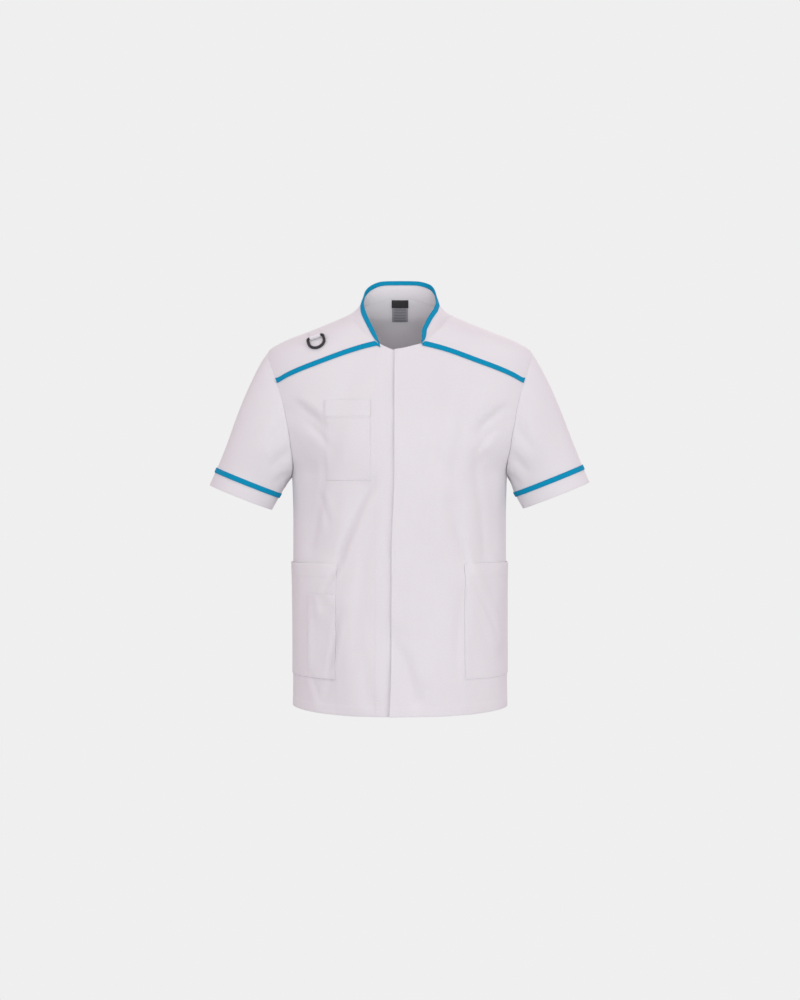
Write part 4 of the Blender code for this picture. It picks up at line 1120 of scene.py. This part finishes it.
def make_small_pocket():
    """The narrow pocket on the right hip pocket, a little crumpled at its mouth."""
    rows, up, relief = pocket_rows(
        HIP_POCKET_BOTTOM, SMALL_POCKET_MOUTH, SMALL_MOUTH_HEM, SMALL_POCKET_STEP
    )
    shares = np.linspace(0, 1, SMALL_POCKET_COLUMNS)
    inner = angle_at(HIP_POCKET_INNER_X, rows, FRONT)
    # Its outer edge lies a share of the way from the chest pocket's line to the side seam.
    outer = angle_at(CHEST_POCKET_OUTER_X, rows, FRONT)
    outer = outer + SMALL_POCKET_SHARE * (side_seam_angle(rows) - outer)
    angles = RIGHT * pocket_angles(inner, outer, shares)
    # It rides on the hip pocket's own bulge.
    hip_up = (rows - HIP_POCKET_BOTTOM) / (HIP_POCKET_MOUTH - HIP_POCKET_BOTTOM)
    hip_share = (np.abs(angles) - inner[:, None]) / (side_seam_angle(rows) - inner)[:, None]
    hip_across = np.sin(math.pi * np.clip(hip_share, 0, 1)) ** POCKET_ROUNDING
    stand = HIP_BULGE * hip_up[:, None] ** 3 * hip_across
    crumple = random_hills(shares * 5 + 0 * up[:, None], up[:, None] * 9, 11, 71)
    crumple = (crumple + 0.7) * ease(0.55, 1.0, up)[:, None] * np.sin(math.pi * shares)
    outer_edge = ease(0.72, 1.0, shares)[None, :] * ease(0.0, 0.25, up)[:, None]
    stand = stand + MOUTH_CRUMPLE * np.maximum(crumple, 0) + SMALL_POCKET_STAND * outer_edge
    lift = 2 * WALL + 2 * LIFT + stand + relief
    return sewn_pocket("pocket_small", angles, rows, lift, SMALL_MOUTH_HEM)


def make_chest_pocket():
    rows, up, relief = pocket_rows(
        CHEST_POCKET_BOTTOM, CHEST_POCKET_MOUTH, CHEST_MOUTH_HEM, proud=CHEST_MOUTH_PROUD
    )
    x = np.linspace(CHEST_POCKET_INNER_X, CHEST_POCKET_OUTER_X, CHEST_POCKET_COLUMNS)
    angles = RIGHT * angle_at(x[None, :], rows[:, None], FRONT)
    lift = FINE_WALL + pocket_stand(up, len(x), CHEST_BULGE) + relief
    return sewn_pocket("pocket_chest", angles, rows, lift, CHEST_MOUTH_HEM, wall=FINE_WALL)


# Sleeves
def sleeve_rings(side):
    """The armhole ring, the ring at the hem band's seam and the cuff ring, point for point."""
    around = np.linspace(0, 2 * math.pi, 2 * SLEEVE_ROUND_STEPS + 1)[:-1]
    turns = np.where(around <= math.pi, around, 2 * math.pi - around)
    faces = np.where(around <= math.pi, FRONT, BACK)
    front, back = armhole_angle(turns, FRONT), armhole_angle(turns, BACK)
    start, _ = skin(side * np.where(faces == FRONT, front, back), armhole_height(turns))
    up = np.array([side * math.cos(CUFF_TILT), 0.0, math.sin(CUFF_TILT)])
    cuff_x, cuff_height, half_width, half_depth = CUFFS[side]
    cuff = np.array([side * cuff_x, CUFF_Y, cuff_height - HOLD_HEIGHT])
    lean = np.array([side * math.sin(BAND_LEAN), 0.0, -math.cos(BAND_LEAN)])
    rings = [start]
    for centre, wider in ((cuff - lean * BAND_DEPTH, BAND_EASE), (cuff, 0)):
        reach = -np.cos(turns)[:, None] * (half_width + wider) * up
        depth = np.zeros_like(reach)
        depth[:, 1] = -faces * np.sin(turns) * (half_depth + wider)
        rings.append(centre + reach + depth)
    return rings, turns, faces, around


def sleeve_points(side):
    """Rings from the armhole to the hem band's seam, each point on a smooth curve between them."""
    (start, seam, cuff), turns, faces, around = sleeve_rings(side)
    leave = np.tile(np.array(SLEEVE_START) * (side, 1, 1), (len(turns), 1))
    leave[:, 1] -= faces * np.sin(turns) * SLEEVE_FULLNESS
    arrive = unit(cuff - seam)
    reach = np.linalg.norm(seam - start, axis=1, keepdims=True)
    rows = []
    shares = np.linspace(0, 1, SLEEVE_ROWS + 1)
    for t in shares:
        row = bent(t, start, reach * leave, seam, reach * arrive)
        soft = SLEEVE_FOLD * math.sin(math.pi * t) ** 2 * np.sin(turns) ** 4
        row[:, 1] += faces * soft * np.sin(3 * turns)
        rows.append(row)
    return np.array(rows), around, shares


def ring_normals(grid):
    """Outward normals of a ring of rows that runs down a sleeve."""
    around = np.roll(grid, -1, axis=1) - np.roll(grid, 1, axis=1)
    down = np.gradient(grid, axis=0)
    normal = unit(np.cross(down, around))
    outward = grid - grid.mean(axis=1, keepdims=True)
    return normal * np.sign((normal * outward).sum(axis=-1).mean())


def sleeve_lift(side, around, shares):
    """Creases and unevenness of a sleeve. They fade out at its two seams."""
    around, shares = np.meshgrid(around, shares)
    total = np.zeros_like(around)
    for which, turn0, t0, turn1, t1, half_width, depth in SLEEVE_CREASES:
        if which != side:
            continue
        a0, a1 = math.radians(turn0), math.radians(turn1)
        du, dv = (a1 - a0) * SLEEVE_RADIUS, (t1 - t0) * SLEEVE_LENGTH
        size = math.hypot(du, dv)
        u = turned_from(a0, around) * SLEEVE_RADIUS
        v = (shares - t0) * SLEEVE_LENGTH
        share = (u * du + v * dv) / size**2
        total += crease_profile((u * dv - v * du) / size, share, half_width, depth)
    turn = around / (2 * math.pi)
    for tall, cells, rows, first, seed in SLEEVE_WAVES:
        total += tall * random_hills(turn * cells, shares * rows + first, cells, 90 + side + seed)
    return total * ease(0.0, 0.10, shares) * ease(1.0, 0.90, shares)


def make_sleeve(side, name):
    points, around, shares = sleeve_points(side)
    normals = ring_normals(points)
    points = points + normals * sleeve_lift(side, around, shares)[..., None]
    return cloth_piece(f"sleeve_{name}", with_weave(points, normals), ("seam", "seam"), ring=True)


def make_sleeve_band(side, name):
    (_, seam, cuff), *_ = sleeve_rings(side)
    band = np.array([seam + (cuff - seam) * t for t in np.linspace(0, 1, BAND_ROWS)])
    normals = ring_normals(band)
    made = cloth_piece(f"sleeve_band_{name}", with_weave(band, normals), ("seam", "fold"), ring=True)
    across = np.linspace(-TRIM_WIDTH / 2, TRIM_WIDTH / 2, TRIM_LINES)
    line = np.array([seam + unit(cuff - seam) * away for away in across])
    out = np.tile(normals[0][None], (len(across), 1, 1))
    trim = make_trim(f"piping_sleeve_{name}", line, out, across, ring=True)
    return made, trim


def make_trim(node, line, out, across, ring=False):
    """Flat tape, slightly domed, edge-stitched on both sides."""
    dome = TRIM_DOME * (1 - (across / (TRIM_WIDTH / 2)) ** 2)
    lift = 2 * LIFT + TRIM_THICKNESS + dome
    grid = with_weave(line + out * lift[:, None, None], out)
    for side in ("bottom", "top"):
        row = edge_row(grid, side, TRIM_STITCH)
        blue_rows.append(np.concatenate([row, row[:1]]) if ring else row)
    return cloth_piece(node, grid, ("fold",) * 4, trim_tape, wall=TRIM_THICKNESS, ring=ring)


def trim_ends(above):
    """Where a line of the yoke trim starts by the collar and ends by the armhole, above its middle."""
    start = NECK_CORNER_X + TRIM_END_GAP + TRIM_MITRE * max(above, 0)
    height = YOKE_END + above
    end = bare_skin(armhole_angle(armhole_turn(height), FRONT), height)[0]
    return start, end - TRIM_END_GAP


def make_yoke_trim(side, name):
    """Flat tape over the seam between front and yoke."""
    across = np.linspace(-TRIM_WIDTH / 2, TRIM_WIDTH / 2, TRIM_LINES)
    x = np.array([np.linspace(*trim_ends(above), TRIM_COLUMNS) for above in across])
    heights = smooth(YOKE_SEAM, x) + across[:, None]
    angles = side * angle_at(x, heights, FRONT)
    points, normals = skin(angles, heights)
    return make_trim(f"piping_yoke_{name}", points, normals, across)


# Collar
def collar_base():
    """The neck seam from the left corner to the centre back, and each point's share of the way."""
    seam = np.concatenate([neck_seam(), back_neck_seam()[-2::-1]])
    left, _ = skin(seam[:, 0], seam[:, 1])
    steps = np.linalg.norm(np.diff(left, axis=0), axis=1)
    return left, np.concatenate([[0], np.cumsum(steps)]) / steps.sum()


def mirrored(left):
    """The wearer's right half before the left half, which ends on the centre line."""
    return np.concatenate([left[:-1] * (-1, 1, 1), left[::-1]])


def collar_top(share, side):
    """The collar's top edge on one side of the neck, from the neck corner to the centre back."""
    lean, flare, stand = COLLAR_LEAN[side]
    top = np.stack([smooth(COLLAR_TOP, share, k) for k in (1, 2, 3)], axis=-1)
    top[:, 0] -= lean * ease(0.0, 0.19, share) * ease(0.54, 0.30, share)
    top[:, 0] += flare * ease(0.08, 0.0, share)
    top[:, 2] += stand * np.exp(-(((share - 0.72) / 0.10) ** 2)) - HOLD_HEIGHT
    return top * (side, 1, 1)


def collar_rows():
    """Rows from the neck seam to the top edge, and the outward directions along it."""
    base, share = collar_base()
    top = np.concatenate([collar_top(share, RIGHT)[:-1], collar_top(share, LEFT)[::-1]])
    hollow = COLLAR_HOLLOW * ease(0.0, 0.35, np.concatenate([share[:-1], share[::-1]]))
    base = mirrored(base)
    rise = top - base
    tall = np.linalg.norm(rise, axis=1)
    base = base + rise / tall[:, None] * COLLAR_SEAM_RISE
    outward = unit(np.cross(np.gradient(base, axis=0), rise))
    outward *= np.sign((outward * (base - (0, 0.01, 0))).sum(axis=1).mean())
    bound = 1 - np.minimum(BINDING_WIDTH, tall - BINDING_SEAM_GAP) / tall
    rows = []
    for row in range(COLLAR_ROWS):
        t = bound * row / (COLLAR_ROWS - 1)
        inward = outward * (hollow * np.sin(math.pi * t))[:, None]
        rows.append(base + (top - base) * t[:, None] - inward)
    rows.append(rows[-1] + (top - rows[-1]) * 0.5)
    rows.append(top)
    return np.array(rows), outward


def make_collar():
    rows, outward = collar_rows()
    normals = np.tile(outward[None], (len(rows), 1, 1))
    return cloth_piece("collar", with_weave(rows, normals), ("fold",) * 4)


def binding_end(side, start, shares, inward):
    """Columns that carry the binding from the collar's corner down over the end of the yoke trim."""
    tip, heel = np.array(BINDING_END[side])
    places = tip + (heel - tip) * shares[:, None]
    points, normals = skin(side * angle_at(places[:, 0], places[:, 1], FRONT), places[:, 1])
    over, under = 2 * LIFT + 2 * TRIM_THICKNESS + PLY_GAP, WALL + LIFT + BINDING_LEG
    lift = np.where(inward > 0, over, under) * inward
    end = points + normals * lift[:, None]
    return np.stack([start + (end - start) * t for t in (0.25, 0.5, 0.75, 1.0)], axis=1)


def make_binding():
    """Tape folded over the collar's top edge."""
    rows, outward = collar_rows()
    top, fall = rows[-1], rows[COLLAR_ROWS - 1] - rows[-1]
    leg = np.linalg.norm(fall, axis=1, keepdims=True)
    down = fall / leg
    middle = top - outward * WALL / 2
    reach = WALL / 2 + LIFT + BINDING_LEG
    lines, normals = [], []
    for share in np.linspace(1, 0, BINDING_LEG_LINES):
        lines.append(middle + down * leg * share + outward * reach)
        normals.append(outward)
    for turn in np.linspace(0, math.pi, BINDING_FOLD_LINES + 2)[1:-1]:
        direction = outward * math.cos(turn) - down * math.sin(turn) * 0.75
        lines.append(middle + direction * reach)
        normals.append(unit(direction))
    for share in np.linspace(0, 1, BINDING_LEG_LINES):
        lines.append(middle + down * leg * share - outward * reach)
        normals.append(-outward)
    lines, normals = np.array(lines), np.array(normals)
    inward = (normals * outward).sum(axis=-1)[:, 0]
    legs = np.linspace(1, 0, BINDING_LEG_LINES), np.linspace(0, 1, BINDING_LEG_LINES)
    shares = np.concatenate([legs[0], np.zeros(BINDING_FOLD_LINES), legs[1]])
    right = binding_end(RIGHT, lines[:, 0], shares, inward)
    left = binding_end(LEFT, lines[:, -1], shares, inward)
    lines = np.concatenate([right[:, ::-1], lines, left], axis=1)
    normals = np.pad(normals, ((0, 0), (right.shape[1], left.shape[1]), (0, 0)), mode="edge")
    grid = with_weave(lines, normals)
    blue_rows.append(edge_row(grid, "bottom", TRIM_STITCH))
    blue_rows.append(edge_row(grid, "top", TRIM_STITCH))
    return cloth_piece("binding_collar", grid, ("fold",) * 4, trim_tape, wall=BINDING_LEG)


def make_label(node, sizes, finish):
    """A plain label that hangs from the collar seam inside the back."""
    half, top, bottom = sizes
    x = np.linspace(-half, half, LABEL_COLUMNS)
    rows = np.linspace(bottom, top, LABEL_ROWS)
    points, normals = skin(angle_at(x[None, :], rows[:, None], BACK), rows[:, None])
    grid = with_weave(points - normals * LABEL_INSET, normals)
    return cloth_piece(node, grid, ("fold",) * 4, finish, wall=LABEL_THICKNESS)


# Ring and its tape
def ring_frame():
    """Where the ring's bar lies: across is along the bar, down is down the slope, out is off the cloth."""
    angle = float(angle_at(RING_X, RING_HEIGHT, FRONT))
    points = bare_skin(angle, RING_HEIGHT)
    out = Vector(skin_normal(angle, RING_HEIGHT))
    level = Vector((0, 0, 1)).cross(out).normalized()
    down = level.cross(out).normalized()
    if down.z > 0:
        down = -down
    across = down.cross(out).normalized()
    turned = Matrix.Rotation(RING_TURN, 3, out)
    placed = Matrix((turned @ across, turned @ down, out)).transposed().to_4x4()
    placed.translation = Vector(points)
    return placed


def ring_outline():
    """Centre line of the ring's wire, in its own plane: the bar lies along X and the bow hangs down Y."""
    corner, half = RING_CORNER, RING_HALF_WIDTH
    points = []
    for centre_x, start in ((-half + corner, 180), (half - corner, 270)):
        for k in range(9):
            turn = math.radians(start + 90 * k / 8)
            points.append((centre_x + corner * math.cos(turn), corner + corner * math.sin(turn)))
    for turn in np.linspace(0, math.pi, RING_BOW_STEPS):
        points.append((half * math.cos(turn), RING_SIDE + half * math.sin(turn)))
    return np.array(points)


def make_ring():
    """Moulded ring of round wire."""
    pivot = ring_frame() @ Matrix.Translation((0, 0, BAR_HEIGHT))
    pivot = pivot @ Matrix.Rotation(-RING_DROOP, 4, "X")
    outline = ring_outline()
    along = unit(np.roll(outline, -1, axis=0) - np.roll(outline, 1, axis=0))
    outward = np.stack([along[:, 1], -along[:, 0]], axis=1)
    points = []
    for turn in np.linspace(0, 2 * math.pi, RING_SIDES + 1)[:-1]:
        out, up = RING_WIRE * math.cos(turn), RING_WIRE * math.sin(turn)
        place = outline + outward * out
        points.append(np.column_stack([place, np.full(len(place), up)]))
    points = np.array(points).swapaxes(0, 1)
    rows, columns = points.shape[:2]
    index = np.arange(rows * columns).reshape(rows, columns)
    index = np.pad(index, ((0, 1), (0, 1)), mode="wrap")
    quads = corners_of(index)
    placed = [tuple(pivot @ Vector(p)) for p in points.reshape(-1, 3)]
    mesh = bpy.data.meshes.new("ring_nylon")
    mesh.from_pydata(placed, [], quads.tolist())
    mesh.shade_smooth()
    if volume(mesh) < 0:
        mesh.flip_normals()
    return worn(mesh, nylon, "d_ring", body="ring")


def volume(mesh):
    """Six times the space that a closed mesh holds, negative where it is inside out."""
    mesh.calc_loop_triangles()
    points = np.empty(len(mesh.vertices) * 3, np.float32)
    mesh.vertices.foreach_get("co", points)
    corners = np.empty(len(mesh.loop_triangles) * 3, np.int32)
    mesh.loop_triangles.foreach_get("vertices", corners)
    return np.linalg.det(points.reshape(-1, 3)[corners.reshape(-1, 3)]).sum()


def make_tape():
    """Tape folded round the ring's bar, its two plies sewn down up the slope."""
    reach = RING_WIRE + TAPE_CLEARANCE + TAPE_PLY
    path = [(d, LIFT) for d in np.linspace(-TAPE_TAIL, -0.006, 8)]
    for turn in np.linspace(math.radians(-110), math.radians(100), 15):
        path.append((reach * math.cos(turn), BAR_HEIGHT + reach * math.sin(turn)))
    flat = LIFT + 2 * TAPE_PLY + PLY_GAP
    for d in np.linspace(-0.0025, -TAPE_TAIL, 11):
        fall = ease(-0.0105, -0.0005, d)
        path.append((d, flat + (BAR_HEIGHT + reach - flat) * float(fall)))
    path = np.array(path)
    step = np.gradient(path, axis=0)
    out = unit(np.stack([-step[:, 1], step[:, 0]], axis=1))
    if out[0, 1] > 0:
        out = -out
    placed = ring_frame()
    turn, place = np.array(placed.to_3x3()), np.array(placed.translation)
    across = np.linspace(-TAPE_WIDTH / 2, TAPE_WIDTH / 2, TAPE_COLUMNS)
    points = np.empty((len(path), len(across), 3))
    normals = np.empty_like(points)
    for k, x in enumerate(across):
        local = np.column_stack([np.full(len(path), x), path])
        points[:, k] = local @ turn.T + place
        normals[:, k] = np.column_stack([np.zeros(len(path)), out]) @ turn.T
        ground = np.column_stack([local[:, :2], np.zeros(len(path))]) @ turn.T + place
        heights = ground[:, 2] + HOLD_HEIGHT
        cloth, _ = skin(angle_at(ground[:, 0], heights, FRONT), heights)
        points[:, k] += (cloth - ground) * ease(-0.003, -0.012, path[:, 0])[:, None]
    grid = with_weave(points, normals)
    box = grid[-9:]
    for side, distance in TAPE_STITCHES:
        white_rows.append(edge_row(box, side, distance))
    white_rows.append(row_on(box, 1))
    return cloth_piece("ring_tape", grid, ("fold",) * 4, wall=TAPE_PLY)


# Stitches
def stitch_tree():
    """Lays stitches along lines: one rounded length of thread at each step."""
    tree = bpy.data.node_groups.new("rows_of_stitches", "GeometryNodeTree")
    face = tree.interface
    face.new_socket("Lines", in_out="INPUT", socket_type="NodeSocketGeometry")
    for name in STITCH_SIZES:
        face.new_socket(name, in_out="INPUT", socket_type="NodeSocketFloat")
    face.new_socket("Seed", in_out="INPUT", socket_type="NodeSocketInt")
    face.new_socket("Thread", in_out="INPUT", socket_type="NodeSocketMaterial")
    face.new_socket("Stitches", in_out="OUTPUT", socket_type="NodeSocketGeometry")
    given = add_node(tree, "NodeGroupInput").outputs
    rows = add_node(tree, "GeometryNodeMeshToCurve", {"Mesh": given["Lines"]})
    pitch, width = given["Pitch"], given["Thread Width"]
    steps = add_node(tree, "GeometryNodeResampleCurve", {"Curve": rows, "Length": pitch}, mode="LENGTH")
    thread = add_node(tree, "GeometryNodeMeshIcoSphere", {"Radius": 0.5, "Subdivisions": 1})
    shape = add_node(tree, "ShaderNodeCombineXYZ", {"X": width, "Y": width, "Z": given["Stitch Length"]})
    stitch = add_node(tree, "GeometryNodeTransform", {"Geometry": thread, "Scale": shape})
    along = add_node(tree, "GeometryNodeInputTangent")
    laid = add_node(tree, "FunctionNodeAlignRotationToVector", {"Vector": along}, axis="Z")
    sizes = {2: 0.9, 3: 1.08, "Seed": given["Seed"]}
    uneven = add_node(tree, "FunctionNodeRandomValue", sizes, data_type="FLOAT")
    each = {"Points": steps, "Instance": stitch, "Rotation": laid, "Scale": uneven}
    placed = add_node(tree, "GeometryNodeInstanceOnPoints", each)
    real = add_node(tree, "GeometryNodeRealizeInstances", {"Geometry": placed})
    rounded = add_node(tree, "GeometryNodeSetShadeSmooth", {"Geometry": real})
    dyed = add_node(tree, "GeometryNodeSetMaterial", {"Geometry": rounded, "Material": given["Thread"]})
    add_node(tree, "NodeGroupOutput", {"Stitches": dyed})
    return tree


def sew(name, rows, thread, seed, tree):
    """A plain mesh of all the stitches along these lines."""
    edges, first = [], 0
    for row in rows:
        edges += [(first + k, first + k + 1) for k in range(len(row) - 1)]
        first += len(row)
    lines = bpy.data.meshes.new(f"{name}_lines")
    lines.from_pydata(np.concatenate(rows).tolist(), edges, [])
    holder = in_scene(f"{name}_lines", lines)
    modifier = holder.modifiers.new("Stitches", "NODES")
    modifier.node_group = tree
    values = {**STITCH_SIZES, "Seed": seed, "Thread": thread}
    for item in tree.interface.items_tree:
        if item.in_out == "INPUT" and item.name in values:
            modifier[item.identifier] = values[item.name]
    graph = bpy.context.evaluated_depsgraph_get()
    mesh = bpy.data.meshes.new_from_object(holder.evaluated_get(graph), depsgraph=graph)
    mesh.name = name
    bpy.data.objects.remove(holder)
    mesh.materials.clear()
    return worn(mesh, thread, None)


# Studio
def even_backdrop(tree, glow, lit, output):
    """The camera sees the backdrop's one pale tone, and the tunic is lit by the other shader."""
    seen = add_node(tree, glow, {"Color": linear("#EFEFEF"), "Strength": 1.0})
    direct = add_node(tree, "ShaderNodeLightPath").outputs["Is Camera Ray"]
    both = add_node(tree, "ShaderNodeMixShader", {0: direct, 1: lit, 2: seen})
    set_inputs(tree, output, {"Surface": both})


def make_studio():
    """A pale floor and backdrop of one tone, and broad soft light from the front and both flanks."""
    world = bpy.data.worlds.new("pale_studio")
    world.use_nodes = True
    tree = world.node_tree
    room = tree.nodes["Background"]
    set_inputs(tree, room, {"Color": linear("#FFF1F7"), "Strength": ROOM_LIGHT})
    even_backdrop(tree, "ShaderNodeBackground", room, tree.nodes["World Output"])
    bpy.context.scene.world = world
    make_floor()
    for name, place, size, power, tone in STUDIO_LIGHTS:
        soft = bpy.data.lights.new(name, "AREA")
        soft.size = size
        soft.energy = power
        soft.color = linear(tone)[:3]
        lamp = in_scene(name, soft)
        lamp.location = place
        lamp.rotation_euler = (LIGHTS_AIM - Vector(place)).to_track_quat("-Z", "Y").to_euler()


def make_floor():
    """A pale floor at the height of a standing wearer's feet, of the backdrop's own tone."""
    mesh = bpy.data.meshes.new("studio_floor")
    around = np.linspace(0, 2 * math.pi, FLOOR_SIDES + 1)[:-1]
    rim = [FLOOR_RADIUS * np.cos(around), FLOOR_RADIUS * np.sin(around), np.full(FLOOR_SIDES, FLOOR)]
    mesh.from_pydata(np.column_stack(rim).tolist(), [], [tuple(range(FLOOR_SIDES))])
    paper, tree = new_material("studio_paper")
    finished(paper, {"Base Color": linear("#B4AEB2"), "Roughness": 0.9})
    shader, output = tree.nodes["Principled BSDF"], tree.nodes["Material Output"]
    even_backdrop(tree, "ShaderNodeEmission", shader, output)
    mesh.materials.append(paper)
    in_scene("studio_floor", mesh)


def make_camera():
    """Level with the tunic's middle, 3.3 m in front of it."""
    lens = bpy.data.cameras.new("photographer")
    lens.sensor_width = SENSOR_WIDTH
    lens.lens = LENS
    camera = in_scene("photographer", lens)
    camera.location = CAMERA_PLACE
    camera.rotation_euler = (math.pi / 2, 0.0, 0.0)
    bpy.context.scene.camera = camera


def make_tunic():
    back = make_back()
    collar = make_collar()
    binding = make_binding()
    for side, name in SIDES:
        front = make_front(side, name)
        yoke = make_yoke(side, name)
        yoke_trim = make_yoke_trim(side, name)
        sleeve = make_sleeve(side, name)
        band, sleeve_trim = make_sleeve_band(side, name)
        pocket = make_hip_pocket(side, name)
    chest = make_chest_pocket()
    small = make_small_pocket()
    make_label("neck_label", NECK_LABEL, black_label)
    make_label("care_label", CARE_LABEL, grey_label)
    make_ring()
    make_tape()
    tree = stitch_tree()
    sew("white_stitching", white_rows, white_thread, 5, tree)
    sew("blue_stitching", blue_rows, blue_thread, 8, tree)


bpy.context.scene.view_settings.view_transform = "Standard"
make_camera()
make_studio()
make_tunic()
